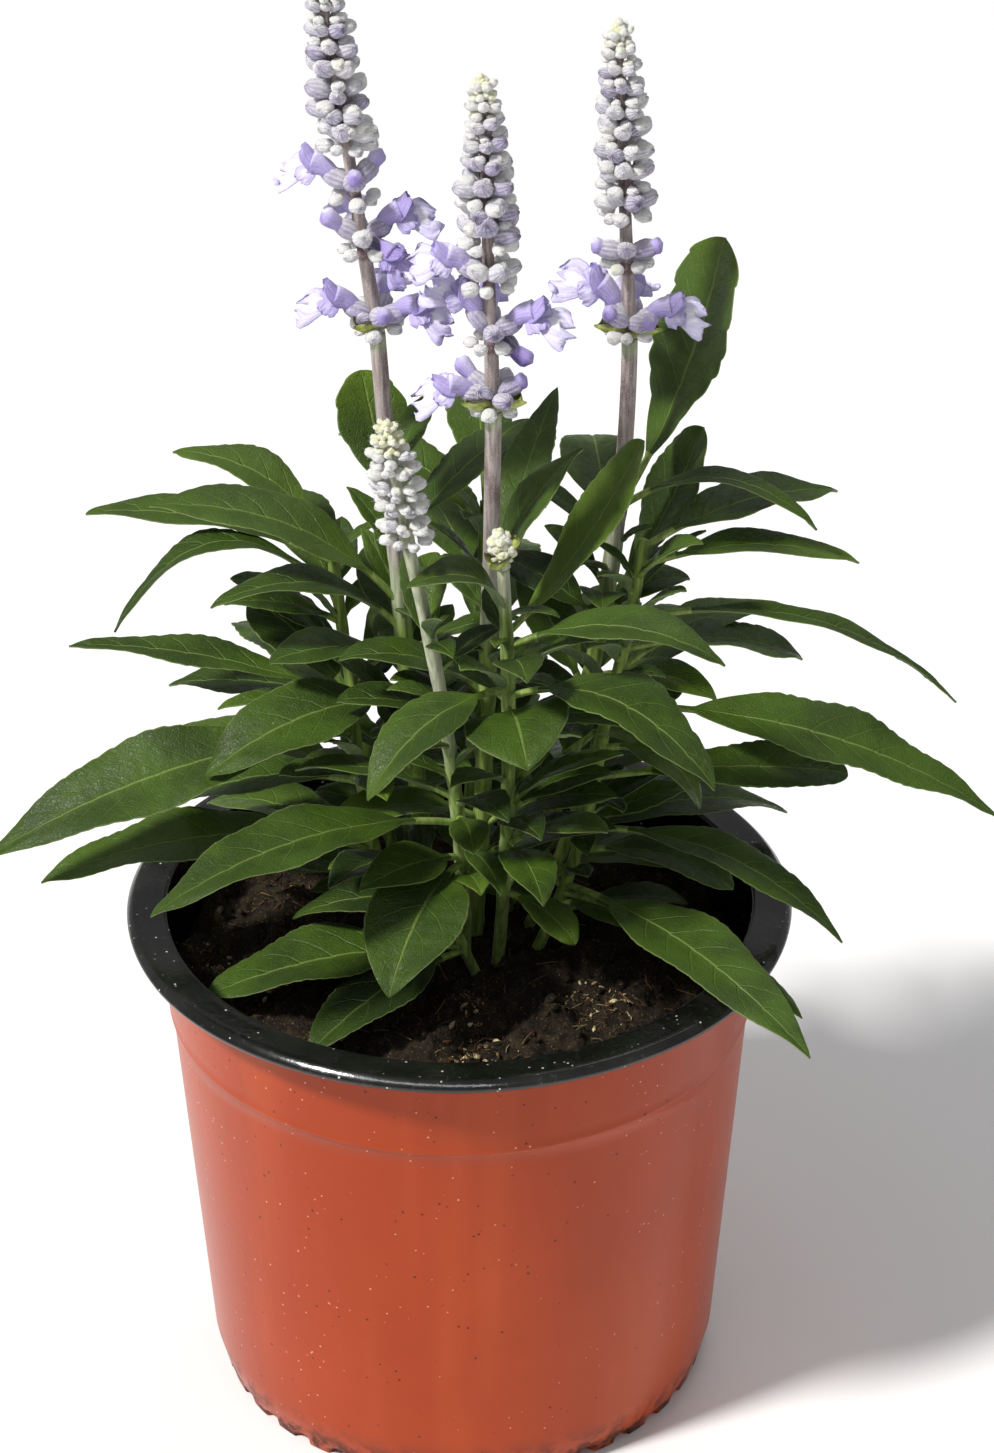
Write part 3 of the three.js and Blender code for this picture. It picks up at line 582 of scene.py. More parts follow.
def peat():
    s = Shade("peat", 0.2)
    lump = s.noise(350, 5, 0.7)
    s.color = s.mix(s.step(lump, 0.35, 0.7), (23, 19, 14), (58, 48, 35))
    s.over(s.step(s.noise(1700, 4), 0.6, 0.68), (132, 104, 66), 0.7)
    s.bump(lump, 1.0, 0.0012)
    return s.finish(s.spread(lump, 0.88, 1.0))


def straw():
    s = Shade("straw", 0.3)
    stripe = s.noise(1500)
    s.bump(stripe, 0.5, 0.0002)
    s.color = s.mix(stripe, (70, 50, 30), (132, 102, 62))
    return s.finish(s.spread(stripe, 0.7, 0.9))


def perlite():
    s = Shade("perlite", 0.3)
    pores = s.cells(2600)
    s.color = s.mix(s.step(s.tone(), 0.3, 1.0), (84, 58, 34), (236, 218, 166))
    s.over(s.step(pores, 0.4, 0.1), (70, 50, 32), 0.5)
    s.bump(pores, 0.8, 0.0004)
    return s.finish(s.spread(pores, 0.84, 0.96))


LEAF = [leaf_top(), leaf_under(), petiole(), stem_skin()]
BLOOM = [mealy(), corolla(), bract(), stem_skin()]

# Slots of those lists, and of the materials of the soil and the pot
UNDER, STALK, STEM = 1, 2, 3
FELT, PETAL, BRACT = 0, 1, 2
PEAT, STRAW, PERLITE = 0, 1, 2
INSIDE = 1


# Leaves and stems
def bezier(stem, t):
    a, b, c = (vec(*p) for p in STEMS[stem][:3])
    t = np.asarray(t, float)[..., None]
    return (1 - t) ** 2 * a + 2 * t * (1 - t) * b + t * t * c


def at_height(stem, height):
    """The point of a stem's middle line at a height."""
    low, high = 0.0, 1.0
    for _ in range(30):
        middle = (low + high) / 2
        if bezier(stem, middle)[2] < height:
            low = middle
        else:
            high = middle
    return bezier(stem, low)


def leaf_line(root, row, t):
    """Points, side and normal of a leaf's midline at shares t of its length."""
    _, azimuth, length, slope, _, arch, roll, _ = row
    along = heading(azimuth, slope)
    side = heading(azimuth + 90, 0)
    up = np.cross(along, side)
    c, s = math.cos(math.radians(roll)), math.sin(math.radians(roll))
    side, up = c * side + s * up, c * up - s * side
    middle = root + along * length * t + up * 4 * arch * t * (1 - t)
    tangent = unit(along * length + up * 4 * arch * (1 - 2 * t))
    return middle, side, np.cross(tangent, side)


def blade_share(t):
    return np.clip((t - PETIOLE_SHARE) / (1 - PETIOLE_SHARE), 0, 1)


def leaf_half(t, width, blunt):
    """Half the blade's width at shares t of the leaf's length."""
    u = blade_share(t)
    bow = np.abs(np.sin(np.pi * u ** (0.85 + 0.35 * blunt))) ** (0.8 - 0.15 * blunt)
    return np.sqrt((width / 2 * bow) ** 2 + (PETIOLE_HALF_WIDTH * (1 - 0.85 * u)) ** 2)


def add_leaf(piece, root, row, shade=0, form=PLAIN):
    """One leaf: a thin closed blade with a channelled stalk, quilted between its veins."""
    slim, taper, coarse = form
    length, width, blunt = row[2], row[4] * slim, row[7]
    n, m = max(26, int(length * 1.35)), 11
    t = 1 - (1 - column(n)) ** (1.1 + 0.25 * blunt)
    v = np.sin(np.linspace(1, -1, m) * np.pi / 2)[None, :]
    u = blade_share(t)
    middle, side, normal = leaf_line(root, row, t)
    middle = middle + side * rng.uniform(-0.02, 0.02) * length * np.sin(np.pi * t)
    body = smooth(0.1, 0.3, u) * smooth(1.0, 0.9, u)
    pitch = rng.uniform(*TOOTH_PITCH) * coarse ** 0.8
    beat = t * length / pitch + 0.3 * np.sign(v) + 0.25 * np.sin(t * length / 5)
    tooth = np.abs(np.mod(beat, 1) - 0.3)
    jag = rng.uniform(0.3, 1.0) * coarse / (width / 2 + 2)
    teeth = 1 + jag * (0.35 - tooth) * smooth(0.6, 1.0, np.abs(v)) * body
    half = leaf_half(t, width, blunt) * teeth * (1 - taper * smooth(0.4, 0.95, u))
    spacing = min(7.0, 0.8 * length / 5)
    phase = t * length / spacing - 0.55 * width / spacing * np.abs(v) ** 1.2
    ridge = np.abs(np.mod(phase, 1) - 0.5) * 2
    quilt = 0.3 * (1 - ridge ** 4) * body * (1 - np.abs(v) ** 6)
    count = length / rng.uniform(18, 30)
    waves = [np.sin(2 * np.pi * t * count + rng.uniform(0, 6.3)) for _ in range(2)]
    ripple = 0.04 * width * np.where(v > 0, waves[0], waves[1]) * np.abs(v) ** 2 * body
    fold = LEAF_FOLD * half * (np.sqrt(v ** 2 + 0.02) - 0.14)
    spine = np.exp(-(v * half / 0.6) ** 2)
    groove = -0.25 * spine * smooth(0.0, 0.15, u)
    lift = fold + ripple + quilt + groove
    stalk = 1 - smooth(0.1, 0.32, t)
    thick = BLADE_THICKNESS + (STALK_THICKNESS - BLADE_THICKNESS) * stalk
    thick = thick * (1 - 0.75 * np.abs(v) ** 3)
    rib = 0.5 * spine * (1 - t) * (1 - stalk)
    top, under = (middle[:, None] + side * (v * half)[..., None] + normal[:, None] * offset[..., None]
                  for offset in (lift + thick / 2, lift - thick / 2 - rib))
    slots = np.zeros((n - 1, 2 * m), int)
    slots[:, m:-1] = UNDER
    slots[: int(n * 0.15)] = STALK
    # A lower tone darkens a leaf: shade lowers it for the leaves inside the bush, as painted shade. Some
    # leaves get a higher, yellower outer half: painted sunlight on their tips.
    tone = np.clip(rng.gauss(0.42, 0.18) - shade, 0, 0.85) + 0.3 * (1 - smooth(0.15, 0.45, t))
    tone = tone + rng.choice((0, 0.12, 0.36)) * smooth(0.55, 1.0, t)
    piece.sheet(top, under, slots, pairs(phase, (v + 1) / 2), tone)


def add_rod(piece, centres, radii, tone, slot, sides=16, square=0.07):
    """A grooved four-cornered stem. radii and tone are one number, or one for each centre."""
    radii, tone = (np.broadcast_to(x, len(centres))[:, None] for x in (radii, tone))
    tangents = unit(np.gradient(centres, axis=0))
    one = unit(np.cross(tangents, vec(0, 1, 0)))
    two = np.cross(one, tangents)
    turn = circle(sides)
    shape = 1 + square * np.cos(4 * turn) - 0.5 * square * np.cos(8 * turn)
    ring = np.cos(turn)[:, None] * one[:, None] + np.sin(turn)[:, None] * two[:, None]
    piece.grid(centres[:, None] + ring * (shape * radii)[..., None], slot, tone=tone)


class Room:
    """Keeps small extra leaves clear of all others, by points spread over their blades."""

    def __init__(self):
        self.points = []
        t = column(60)
        for stem, rows in LEAVES.items():
            self.points.append(bezier(stem, t[:, 0]))
            for row in rows:
                self.points.append(self.blade(at_height(stem, row[0]), row))
        for foot, tip, *_ in SPIKES.values():
            self.points.append(vec(*foot) + (vec(*tip) - vec(*foot)) * t)

    def blade(self, root, row):
        t = np.linspace(0.12, 1, max(8, int(row[2] / 2.2)))[:, None]
        middle, side, normal = leaf_line(root, row, t)
        half = leaf_half(t, row[4], row[7])
        lines = [middle + side * half * v + normal * LEAF_FOLD * abs(v) * half
                 for v in (-1, -0.5, 0, 0.5, 1)]
        return np.concatenate(lines)

    def take(self, root, row):
        """True, and the room is taken, where nothing but the leaf's own stem comes near."""
        points = self.blade(root, row)
        x, y, z = points.T
        inside = (np.hypot(x, y) < BUSH_RADIUS) | (z > POT_HEIGHT + 3)
        front = (y < BUSH_FRONT) & (z < 124)
        if front.any() or not inside.all() or (z < SOIL_HEIGHT + 4).any():
            return False
        others = np.concatenate(self.points)
        near = others[np.linalg.norm(others - points.mean(0), axis=1) < row[2] * 0.6 + 12]
        apart = np.linalg.norm(points[:, None] - near[None], axis=2)
        away = np.linalg.norm(near - root, axis=1) > OWN_STEM
        if (apart[:, away] < CLEARANCE).any():
            return False
        self.points.append(points)
        return True


def young_leaves(stem, room, wanted):
    """Small leaves in the joints of a stem and the shaded inside of the bush."""
    rows = []
    low, high = STEMS[stem][0][2] + 6, min(STEMS[stem][2][2] - 6, 185)
    for _ in range(wanted * 14):
        height = rng.uniform(low, high)
        share = (height - low) / (high - low)
        length = rng.uniform(18, 48) * (1 - 0.5 * share)
        slope = rng.uniform(-8, 30) + 28 * share
        row = (height, rng.uniform(0, 360), length, slope, length * rng.uniform(0.3, 0.42),
               length * 0.09, rng.uniform(-15, 15), rng.choice((0, 0, 1)))
        root = at_height(stem, height)
        if room.take(root, row):
            rows.append(row)
        if len(rows) == wanted:
            break
    return rows


def leafy_stem(name, room):
    piece = Piece(name + "_leafage", LEAF)
    foot, bend, top, radius, kind = STEMS[name]
    length = np.linalg.norm(vec(*top) - vec(*foot))
    n = max(8, int(length / 2))
    t = np.linspace(-STEM_DEPTH / length, 1, n)
    centres = bezier(name, np.clip(t, 0, 1))
    tangent = unit(vec(*bend) - vec(*foot))
    centres += np.minimum(t, 0)[:, None] * length * tangent
    heights = centres[:, 2]
    wanted = 21 if name in ("stem_left_spike", "shoot_left_high") else 15 if length > 40 else 2
    young = young_leaves(name, room, wanted)
    nodes = sorted({row[0] for row in LEAVES[name] + young})
    swell = sum(np.exp(-((heights - z) / 1.6) ** 2) for z in nodes)
    radii = radius * (1.02 - 0.1 * t) * (1 + 0.13 * np.minimum(swell, 1))
    pale = (188, 199) if name == "stem_bud_spike" else (145, 172)
    tones = {
        "tall": 0.7 * smooth(165, 200, heights) - 0.3 * smooth(top[2] - 6, top[2] - 1, heights),
        "young": 0.08 + 0.28 * smooth(*pale, heights),
        "leafy": 0,
    }
    add_rod(piece, centres, radii, tones[kind], STEM)
    forms = LEAF_FORMS.get(name, {})
    for index, row in enumerate(LEAVES[name]):
        add_leaf(piece, at_height(name, row[0]), row, form=forms.get(index, PLAIN))
    # The small leaves inside the bush get a lower, darker tone: painted shade.
    for row in young:
        add_leaf(piece, at_height(name, row[0]), row, 0.12)
    piece.build(name, slot="foliage")


# Flower spikes
def girth(turn):
    """Runs from 0 to 1 and back round a ring, so that it has no seam."""
    return 1 - np.abs(turn / np.pi - 1)


def frame_of(direction):
    side = unit(np.cross(vec(0, 0, 1), direction))
    return direction, side, np.cross(direction, side)


def add_lump(piece, root, direction, length, width, tone, slot=0, sides=9, rings=7, ribs=0):
    """A plump egg from root along direction."""
    s, turn = column(rings), circle(sides)[None, :]
    swell = np.sin(np.pi * np.clip(s, 0.02, 0.985) ** 0.9) ** 0.62
    radius = width / 2 * swell * (1 + ribs * np.cos(turn * 5))
    points = placed(root, frame_of(direction), length * s, radius * np.cos(turn), radius * np.sin(turn))
    piece.grid(points, slot, pairs(s, girth(turn)), tone)


def add_petal(piece, base, axes, size, length, widths, bend, cup, ruffle, tone, slot=PETAL, notch=0,
              lobes=0.03):
    """A thin petal. widths gives full widths at even steps; bend lifts it, cup hollows it."""
    n, m = 19, 23
    length, bend, ruffle, *widths = (size * x for x in (length, bend, ruffle, *widths))
    s, v = column(n), np.linspace(-1, 1, m)[None, :]
    half = np.interp(s[:, 0], np.linspace(0, 1, len(widths)), widths)[:, None] / 2
    edge = 1 - notch * np.exp(-(v / 0.28) ** 2) * smooth(0.6, 1.0, s)
    phase = rng.uniform(0, 6)
    scallop = 0.8 * np.sin(8 * v + phase) + 0.6 * np.sin(18 * v - 2 * phase)
    edge = edge * (1 - 0.16 * v ** 2 * smooth(0.7, 1, s)) * (1 + lobes * scallop * smooth(0.3, 1, s))
    frill = np.sin(9 * v + 4 * s + phase) + 0.6 * np.sin(16 * v - 6 * s + 2 * phase)
    frill = ruffle * frill * smooth(0.3, 1.0, s) * (0.4 + 0.6 * np.abs(v))
    rise = bend * s ** 2 + cup * half * v ** 2 + frill
    top, under = (placed(base, axes, length * s * edge, half * v, rise + lift)
                  for lift in (PETAL_THICKNESS / 2, -PETAL_THICKNESS / 2))
    piece.sheet(top, under, slot, pairs(s, (v + 1) / 2), tone)


def add_calyx(piece, root, direction, length, width, tone, hairs=26):
    """A plump felted calyx with two soft lips closed at its end."""
    ring = circle(13)[None, :]
    turn = ring + rng.uniform(0, 6)
    s = np.array([0, 0.07, 0.2, 0.38, 0.58, 0.76, 0.89, 0.97, 1.0])[:, None]
    bell = np.array([0.3, 0.62, 0.87, 1.0, 1.0, 0.9, 0.7, 0.44, 0.16])[:, None]
    lumps = 1 + 0.07 * np.cos(turn * 5) * smooth(0.2, 0.8, s) + 0.06 * np.cos(turn * 3 + 40 * length)
    lumps = lumps + 0.05 * np.sin(turn * 2 + 9 * s + 70 * width)
    out = length * (s - 0.1 * np.cos(turn) ** 2 * smooth(0.7, 1, s))
    radius = width / 2 * bell * lumps
    points = placed(root, frame_of(direction), out, radius * np.cos(turn), radius * np.sin(turn) * 0.86)
    # Lighter on the upper side and darker beneath: painted shade. Darker towards the closed mouth: partly
    # the calyx's own darker tip, partly painted shade in the cleft between its lips.
    shade = tone - 0.16 * np.sin(turn) * min(1.0, tone * 2) + 0.2 * tone * smooth(0.9, 1.0, s)
    piece.grid(points, FELT, pairs(s, girth(ring)), shade)
    picks = [(rng.randrange(2, 9), rng.randrange(13)) for _ in range(int(hairs * min(1, length / 4)))]
    roots = np.array([points[i, j] for i, j in picks])
    roots = roots + np.array([[rng.gauss(0, 0.2) for _ in range(3)] for _ in picks])
    away = unit(roots - root - direction * length * 0.35)
    reach = np.array([[rng.uniform(0.3, 0.62)] for _ in picks])
    tips = roots + reach * away
    piece.hairs(roots - HAIR_SEAT * away, tips, CALYX_HAIR_WIDTH, FELT, 0.16 + 0.2 * tone)


def add_flower(piece, root, azimuth, rise, size, is_open):
    """A calyx with a closed bud, or with a tube, a hood and a broad ruffled lower lip."""
    hanging = rise < 0
    # deep makes hanging flowers much darker violet and the others darker by a random amount: partly their
    # own deeper violet, partly painted shade, most of all for flowers that hang under the whorl.
    deep = 0.34 if hanging else rng.uniform(-0.04, 0.12)
    axes = direction, side, up = frame_of(heading(azimuth, rise))
    add_calyx(piece, root + direction * 0.7, direction, 6.0, 4.4, 0.68 + 1.2 * deep, 60)
    s, turn = column(12), circle(14)[None, :]
    uv = pairs(s * 0.3, girth(turn))
    if not is_open:
        reach, width = 12.6 * size, 2.3 + 1.9 * size
        club = np.interp(s, [0, 0.3, 0.6, 0.82, 0.94, 1], [0.5, 0.62, 0.9, 1.0, 0.74, 0.12])
        radius = width / 2 * club * (1 + 0.05 * np.cos(3 * turn))
        points = placed(root, axes, 2.5 + (reach - 2.5) * s, radius * 0.9 * np.cos(turn),
                        radius * np.sin(turn) + 0.5 * s ** 2)
        # Paler on top and deeper violet beneath: painted shade.
        tone = rng.uniform(0.4, 0.6) + deep - 0.3 * np.sin(turn) * smooth(0.2, 0.6, s)
        piece.grid(points, PETAL, uv, tone)
        picks = [(rng.randrange(5, 12), rng.randrange(14)) for _ in range(50)]
        roots = np.array([points[i, j] for i, j in picks])
        away = unit(roots - root - direction * (reach - 2))
        tips = roots + rng.uniform(0.3, 0.5) * away
        piece.hairs(roots - HAIR_SEAT * away, tips, BUD_HAIR_WIDTH, FELT, 0.35)
        return
    radius = size * np.interp(s, [0, 0.3, 0.65, 0.88, 1], [1.2, 1.5, 1.9, 2.3, 2.6])
    radius = radius * (1 + 0.09 * np.cos(3 * turn + 4 * s) + 0.05 * np.cos(5 * turn - 3 * s))
    arc = size * (1.2 * np.sin(np.pi * 0.75 * s))
    tube = placed(root, axes, size * (3.0 + 6.2 * s), radius * 0.85 * np.cos(turn),
                  radius * np.sin(turn) + arc)
    # Paler on top and deeper violet beneath: painted shade.
    piece.grid(tube, PETAL, uv, 0.56 + deep - 0.24 * s - 0.2 * np.sin(turn))
    throat = root + direction * 8.2 * size + up * 0.9 * size
    swing = rng.uniform(-10, 10)
    level = heading(azimuth + swing, rise - rng.uniform(8, 22))
    face = math.cos(math.radians(azimuth)) * rng.uniform(0.45, 0.85)
    across = unit(np.cross(vec(0, 0, 1), level) + up * face)
    lift = np.cross(level, across)
    add_petal(piece, throat - up * 1.1 * size, (level, across, lift), size, 7.8,
              (2.4, 3.8, 6.6, 9.4, 10.4, 9.0, 5.2), -2.2, -0.22, 0.95, rng.uniform(0, 0.1) + deep,
              notch=0.3, lobes=0.09)
    for hand in (-1, 1):
        out = unit(level + 1.3 * hand * across + 0.3 * lift)
        aside = unit(np.cross(lift, out))
        add_petal(piece, throat - up * 0.4 * size, (out, aside, np.cross(out, aside)), size, 4.2,
                  (2.0, 4.0, 4.8, 3.4), -0.9, -0.3, 0.35, 0.2 + deep)
    high = heading(azimuth + swing, rise + rng.uniform(22, 42))
    add_petal(piece, throat + up * 0.3 * size - direction * 1.2 * size, (high, side, np.cross(high, side)),
              size, 5.6, (3.8, 4.6, 4.6, 4.0, 2.6), -0.9, -1.0, 0.16, 0.46 + deep, notch=0.12)


def flower_spike(name):
    piece = Piece(name + "_bloom", BLOOM)
    foot, tip, radius, whorls, flowers, bracts = SPIKES[name]
    foot, tip = vec(*foot), vec(*tip)
    height = np.linalg.norm(tip - foot)
    axis = (tip - foot) / height
    forming = name == "flowers_bud"
    white = forming or name == "flowers_young"
    t = np.linspace(0, 1, max(6, int(height)))
    centres = foot + axis * (height - 1.5) * t[:, None]
    rises = (height - 1.5) * t
    dark = sum(smooth(w - 5, w - 3, rises) * smooth(w - 0.5, w - 1.5, rises) for w in whorls[1:3])
    tones = 0.36 if white else 0.68 + 0.3 * np.minimum(dark, 1)
    add_rod(piece, centres, 1.5 - 0.8 * t, tones, STEM)
    ring = 8 if name == "flowers_young" else 6
    sizes = {"flowers_bud": (0.22, 0.74, 0.7), "flowers_young": (0.4, 0.55, 0.4)}
    start, long, wide = sizes.get(name, (0.22, 0.78, 0.58))
    for index, rise in enumerate(whorls):
        share = rise / height
        reach = radius * min(1, (0.3 if white else 0.38) + (1 - share) * 1.85)
        cream = 1 if forming else smooth(0.6, 0.85, share) if white else smooth(0.8, 1.0, share)
        for k in range(ring):
            turn = (k + (index % 2) / 2) * 360 / ring
            taken = any(f[0] == index and math.cos(math.radians(f[1] - turn)) > 0.75 for f in flowers)
            swing = turn + rng.uniform(-9, 9)
            centre = foot + axis * (rise + rng.uniform(-0.4, 0.4))
            if not taken:
                lilac = rng.choice((0.18, 0.22, 0.42) if white else (0.32, 0.4, 0.46, 0.56, 0.7))
                tone = lilac * (1 - cream) + 0.08 * cream
                direction = heading(swing, 26 + rng.uniform(-14, 14))
                size = rng.uniform(0.76, 1.06)
                add_calyx(piece, centre + direction * start * reach, direction, long * reach * size,
                          wide * reach * size, tone)
            low = heading(swing + 180 / ring + rng.uniform(-8, 8), 2)
            tone = rng.uniform(0.17, 0.36) * (1 - cream) + 0.08 * cream
            size = rng.uniform(0.75, 1.15)
            add_calyx(piece, centre - axis * 0.27 * reach + low * 0.34 * reach, low, 0.5 * reach * size,
                      (0.36 if white else 0.43) * reach * size, tone)
    tip_size = 0.8 if forming else 1
    add_lump(piece, foot + axis * (height - 4.6 * tip_size), axis, 4.3 * tip_size, 2.2 * tip_size, 0.05,
             ribs=0.08)
    for k in range(26):
        share = k / 25
        out = heading(k * 137.5, 15 + 55 * share)
        place = foot + axis * (height - (7.2 - 5.4 * share) * tip_size) + out * (0.9 - 0.7 * share)
        size = rng.uniform(1.5, 2.1) * (1 - 0.3 * share) * (1.2 if forming else 1)
        add_calyx(piece, place, out, size * 1.15, size, rng.uniform(0.02, 0.09), 7)
    for whorl, azimuth, rise, size, is_open in flowers:
        add_flower(piece, foot + axis * (whorls[whorl] + 0.5), azimuth, rise, size, is_open)
    for azimuth in bracts:
        add_petal(piece, foot + axis * (whorls[0] - 2.4), frame_of(heading(azimuth, 4)), 1, 7.6,
                  (2.0, 4.6, 5.2, 3.2, 0.3), 2.6, 1.2, 0.1, 0.5, slot=BRACT)
    piece.build(name, slot="white_buds" if white else "blossom")


# Pot and soil
def wall_radius(z):
    share = (z - FOOT_HEIGHT) / (POT_HEIGHT - RIM_DEPTH - FOOT_HEIGHT)
    return WALL_FOOT_RADIUS + (WALL_TOP_RADIUS - WALL_FOOT_RADIUS) * share


def pot():
    """Terracotta outside and black inside, with a rolled rim, a bead and a scalloped foot."""
    lip = POT_HEIGHT - RIM_DEPTH
    outer = [(0.01, 0), (PAD_RADIUS, 0), (PAD_RADIUS + 2, RECESS_DEPTH), (RECESS_OUTER_RADIUS, RECESS_DEPTH),
             (RECESS_OUTER_RADIUS + 2, 0), (FOOT_RADIUS - 1.5, 0), (FOOT_RADIUS - 0.4, 0.05)]
    outer += [(FOOT_RADIUS + (WALL_FOOT_RADIUS - FOOT_RADIUS) * z / FOOT_HEIGHT, z)
              for z in (0.35, 0.8, 1.4, 2, 2.8, 4, 6)]
    outer += [(wall_radius(z), z) for z in np.linspace(FOOT_HEIGHT, BEAD_HEIGHT - 1, 26)]
    outer += [(wall_radius(BEAD_HEIGHT) + BEAD_PROUD * f, BEAD_HEIGHT - 1 + d)
              for f, d in ((0.3, 0.3), (0.75, 0.6), (1, 1), (1, 1.5), (0.8, 2.2))]
    outer += [(wall_radius(z) + BEAD_PROUD * 0.8, z) for z in np.linspace(BEAD_HEIGHT + 3, lip - 0.4, 8)]
    rim = [(r, lip) for r in (WALL_TOP_RADIUS + 1.2, 65.5, 67.5, RIM_RADIUS - 1)]
    rim += [(RIM_RADIUS - 1.4 + 1.4 * math.cos(a), lip + 1.4 + 1.4 * math.sin(a))
            for a in np.radians((-60, -45, -30, -15))]
    rim += [(RIM_RADIUS - 1.4 + 1.4 * abs(math.cos(a)) ** 1.6, lip + 1.4 + 1.4 * math.sin(a) ** 1.6)
            for a in np.radians(np.arange(0, 91, 9))]
    rim += [(67, POT_HEIGHT - 0.05), (65.5, POT_HEIGHT - 0.1), (64, POT_HEIGHT - 0.15)]
    rim += [(62.6 + 0.9 * math.cos(a) - 0.2, POT_HEIGHT - 1.1 + 0.9 * math.sin(a))
            for a in np.radians(np.arange(75, 181, 15))]
    rim += [(wall_radius(z) - POT_WALL, z) for z in np.linspace(lip - 2, FOOT_HEIGHT, 20)]
    rim += [(FOOT_RADIUS - POT_WALL, RECESS_DEPTH + POT_WALL), (0.01, RECESS_DEPTH + POT_WALL)]
    profile = np.array(outer + rim)
    sides = DRAIN_COUNT * 8
    turn = circle(sides)
    radius, z = profile[:, :1], profile[:, 1:]
    off = np.abs(np.mod(turn * DRAIN_COUNT / (2 * np.pi) + 0.5, 1) - 0.5)
    off = off * 2 * np.pi * FOOT_RADIUS / DRAIN_COUNT
    notch = smooth(2.0, 0.9, off)[None, :]
    near = (radius > FOOT_RADIUS - 2) & (z < 2.9) & (np.arange(len(profile))[:, None] < len(outer))
    radius = np.where(near, radius - 2.1 * notch * smooth(2.9, 0.6, z), radius)
    wobble = 0.12 * np.sin(3 * turn + 0.7) + 0.08 * np.sin(7 * turn)
    radius = np.where(radius > 20, radius + wobble - 0.2, radius)
    points = np.stack(np.broadcast_arrays(radius * np.cos(turn), radius * np.sin(turn), z), -1)
    slots = np.zeros((len(profile) - 1, sides), int)
    slots[len(outer) - 1:] = INSIDE
    piece = Piece("pot_shell", [pot_skin(), pot_black()])
    piece.grid(points, slots, cap=False)
    piece.build("pot", slot="pot")


def soil_height(x, y):
    lumps = np.sin(x * 0.31 + 1) * np.cos(y * 0.27) + 0.6 * np.sin(x * 0.53 - y * 0.47)
    mound = 2 * np.exp(-(x * x + y * y) / 900)
    return SOIL_HEIGHT + mound + SOIL_LUMP * lumps


def crumble(x, y):
    """Fine lumps of the peat's surface."""
    total = np.zeros_like(x)
    state = random.Random(5)
    for scale, depth in ((0.16, 0.8), (0.37, 0.7), (0.8, 0.6), (1.7, 0.4)):
        for _ in range(5):
            a, p = state.uniform(0, 6.3), state.uniform(0, 6.3)
            k = scale * state.uniform(0.8, 1.25)
            total += depth * 0.45 * np.sin(k * (x * math.cos(a) + y * math.sin(a)) * 2 + p)
    return total


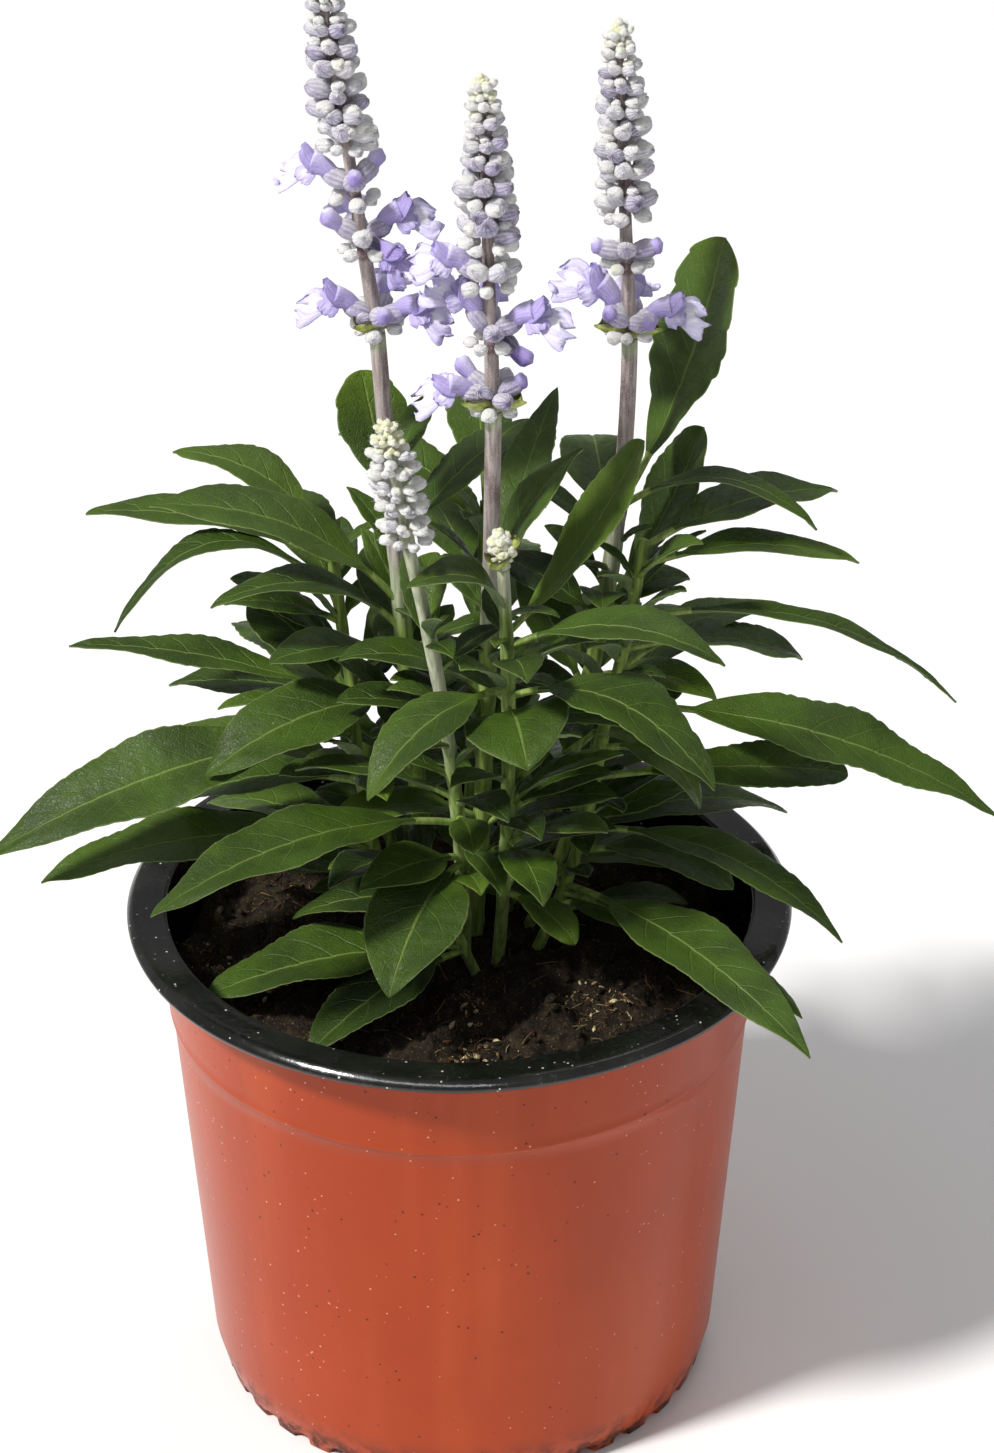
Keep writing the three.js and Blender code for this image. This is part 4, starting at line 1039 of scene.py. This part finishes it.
def soil():
    piece = Piece("soil_bed", [peat(), straw(), perlite()])
    edge = wall_radius(SOIL_HEIGHT - 4) - POT_WALL - GAP
    turn = circle(220)
    rings = np.concatenate([[0.05], np.linspace(1, edge, 74)])[:, None]
    x, y = rings * np.cos(turn), rings * np.sin(turn)
    z = soil_height(x, y) + crumble(x, y) - 0.5 - 1.2 * smooth(edge - 5, edge, rings)
    top = np.stack([x, y, z], -1)[::-1]
    bottom = RECESS_DEPTH + POT_WALL + GAP
    low = [(wall_radius(FOOT_HEIGHT + 1) - POT_WALL - GAP, FOOT_HEIGHT + 1),
           (FOOT_RADIUS - POT_WALL - 1, bottom), (0.05, bottom)]
    wall = np.array([[(r * math.cos(a), r * math.sin(a), h) for a in turn] for r, h in low])
    piece.grid(np.concatenate([wall[::-1], top]), PEAT, cap=False)

    def surface(x, y):
        return float(soil_height(x, y) + crumble(x, y) - 0.5)

    def anywhere(margin):
        r, a = (edge - margin) * math.sqrt(rng.random()), rng.uniform(0, 6.3)
        return r * math.cos(a), r * math.sin(a)

    def strand(draw, x, y, lengths, tilts, bow_tilt, bows, n, lift, start):
        """Points of a bent fibre that lies at x, y. start is the share of it before that place."""
        length = draw.uniform(*lengths)
        direction = heading(draw.uniform(0, 360), draw.uniform(*tilts))
        bow = heading(draw.uniform(0, 360), bow_tilt) * length * draw.uniform(*bows)
        t = column(n)
        return vec(x, y, surface(x, y) + lift) + direction * length * (t - start) + bow * 4 * t * (1 - t)

    for _ in range(900):
        x, y = anywhere(2)
        size = rng.uniform(0.7, 2.4) * (1 if rng.random() < 0.9 else 1.5)
        direction = heading(rng.uniform(0, 360), rng.uniform(-10, 60))
        start = vec(x, y, surface(x, y) - 0.15 * size) - direction * size / 2
        add_lump(piece, start, direction, size, size * rng.uniform(0.6, 0.9), 0.5, PEAT, 6, 5, ribs=0.15)
    for _ in range(150):
        centres = strand(rng, *anywhere(6), (2, 7), (-12, 22), 30, (0.02, 0.2), 6, 0.25, 0.5)
        add_rod(piece, centres, rng.uniform(0.06, 0.18), 0.5, STRAW, sides=5, square=0)
    crumbs = [(3, -36, 3.5), (3, -30, 2.5), (3, -21, 2), (28, -18, 4), (31, -23, 4), (-54, -1, 2.5)] * 36
    crumbs += [(0, 0, 50)] * 40
    for middle, back, spread in crumbs:
        x, y = middle + rng.gauss(0, spread), back + rng.gauss(0, spread)
        if math.hypot(x, y) > edge - 3:
            continue
        size = rng.uniform(0.35, 1.1) * rng.choice((1, 1, 1.9))
        direction = heading(rng.uniform(0, 360), rng.uniform(0, 50))
        start = vec(x, y, surface(x, y) + 0.3 * size) - direction * size / 2
        width, tone = size * rng.uniform(0.2, 0.7), rng.uniform(0.25, 0.95) ** 1.3
        add_lump(piece, start, direction, size, width, tone, PERLITE, 6, 5, ribs=0.35)
    state = random.Random(8)
    for middle, back, spread in crumbs[:144]:
        x, y = middle + state.gauss(0, spread * 0.8), back + state.gauss(0, spread * 0.8)
        centres = strand(state, x, y, (1, 3.4), (-5, 60), 20, (0.05, 0.3), 5, 0.3, 0.3)
        add_rod(piece, centres, state.uniform(0.05, 0.13), state.uniform(0.1, 0.6), PERLITE, 5, 0)
    piece.build("soil", slot="soil")


pot()
soil()
space = Room()
for stem in STEMS:
    leafy_stem(stem, space)
for spike in SPIKES:
    flower_spike(spike)


# Floor, light and camera, in metres, degrees and the photo's pixels; the roll is in radians
CAMERA_DISTANCE, CAMERA_TARGET = 0.8, (0.0081, 0, 0.1488)
CAMERA_ELEVATION, CAMERA_LIFT, CAMERA_ROLL = 29.8, 0.2857, 0.0039
SENSOR_HEIGHT, FOCAL_PIXELS, PHOTO_HEIGHT = 36, 3891, 1453
WORLD_STRENGTH = 0.32


def floor():
    mesh = bpy.data.meshes.new("floor")
    mesh.from_pydata([(-3, -3, 0), (3, -3, 0), (3, 3, 0), (-3, 3, 0)], [], [(0, 1, 2, 3)])
    s = Shade("floor_paper")
    s.color = s.mix(s.noise(3, 2), (245, 245, 246), (250, 250, 250))
    mesh.materials.append(s.finish(0.85))
    piece = add_object("floor", mesh)


def area(name, place, target, size, power, color=(1, 1, 1), height=None):
    """A round area light, or a flat strip where height is given."""
    light = bpy.data.lights.new(name, "AREA")
    light.shape, light.size, light.energy, light.color = "DISK", size, power, color
    if height:
        light.shape, light.size_y = "RECTANGLE", height
    lamp = add_object(name, light)
    lamp.location = place
    lamp.visible_camera = False
    lamp.rotation_euler = (Vector(target) - Vector(place)).to_track_quat("-Z", "Y").to_euler()
    return lamp


def camera():
    """The camera of the photo, fitted to the pot."""
    elevation = math.radians(CAMERA_ELEVATION)
    look = elevation - math.radians(CAMERA_LIFT)
    place = vec(*CAMERA_TARGET) + CAMERA_DISTANCE * vec(0, -math.cos(elevation), math.sin(elevation))
    back = vec(0, -math.cos(look), math.sin(look))
    right = vec(1, 0, 0)
    up = np.cross(back, right)
    c, s = math.cos(CAMERA_ROLL), math.sin(CAMERA_ROLL)
    right, up = c * right - s * up, c * up + s * right
    data = bpy.data.cameras.new("camera")
    data.sensor_fit, data.sensor_height = "VERTICAL", SENSOR_HEIGHT
    data.lens = SENSOR_HEIGHT * FOCAL_PIXELS / PHOTO_HEIGHT
    data.clip_start, data.clip_end = 0.01, 20
    obj = add_object("camera", data)
    obj.matrix_world = Matrix([[right[i], up[i], back[i], place[i]] for i in range(3)] + [[0, 0, 0, 1]])
    bpy.context.scene.camera = obj


floor()
area("key", (-3.3, -2.1, 4.8), (0, 0, 0.1), 0.84, 412, (1, 0.98, 0.95))
area("fill", (0.9, -1.0, 0.7), (0, 0, 0.12), 1.2, 0.4, (0.97, 0.98, 1))
area("back", (0.4, 0.9, 1.7), (0, 0, 0.18), 0.8, 4.4)
# The strip shows in glossy reflections alone, as the bright line along the front of the rim.
area("strip", (-0.7, -2.0, 2.9), (0, 0, 0.11), 2.8, 34, height=0.3).visible_diffuse = False
world = bpy.data.worlds.new("world")
world.use_nodes = True
sky = world.node_tree.nodes["Background"].inputs
sky["Color"].default_value, sky["Strength"].default_value = (0.98, 0.99, 1, 1), WORLD_STRENGTH
bpy.context.scene.world = world
bpy.context.scene.view_settings.view_transform = "Standard"
camera()

bpy.context.view_layer.update()
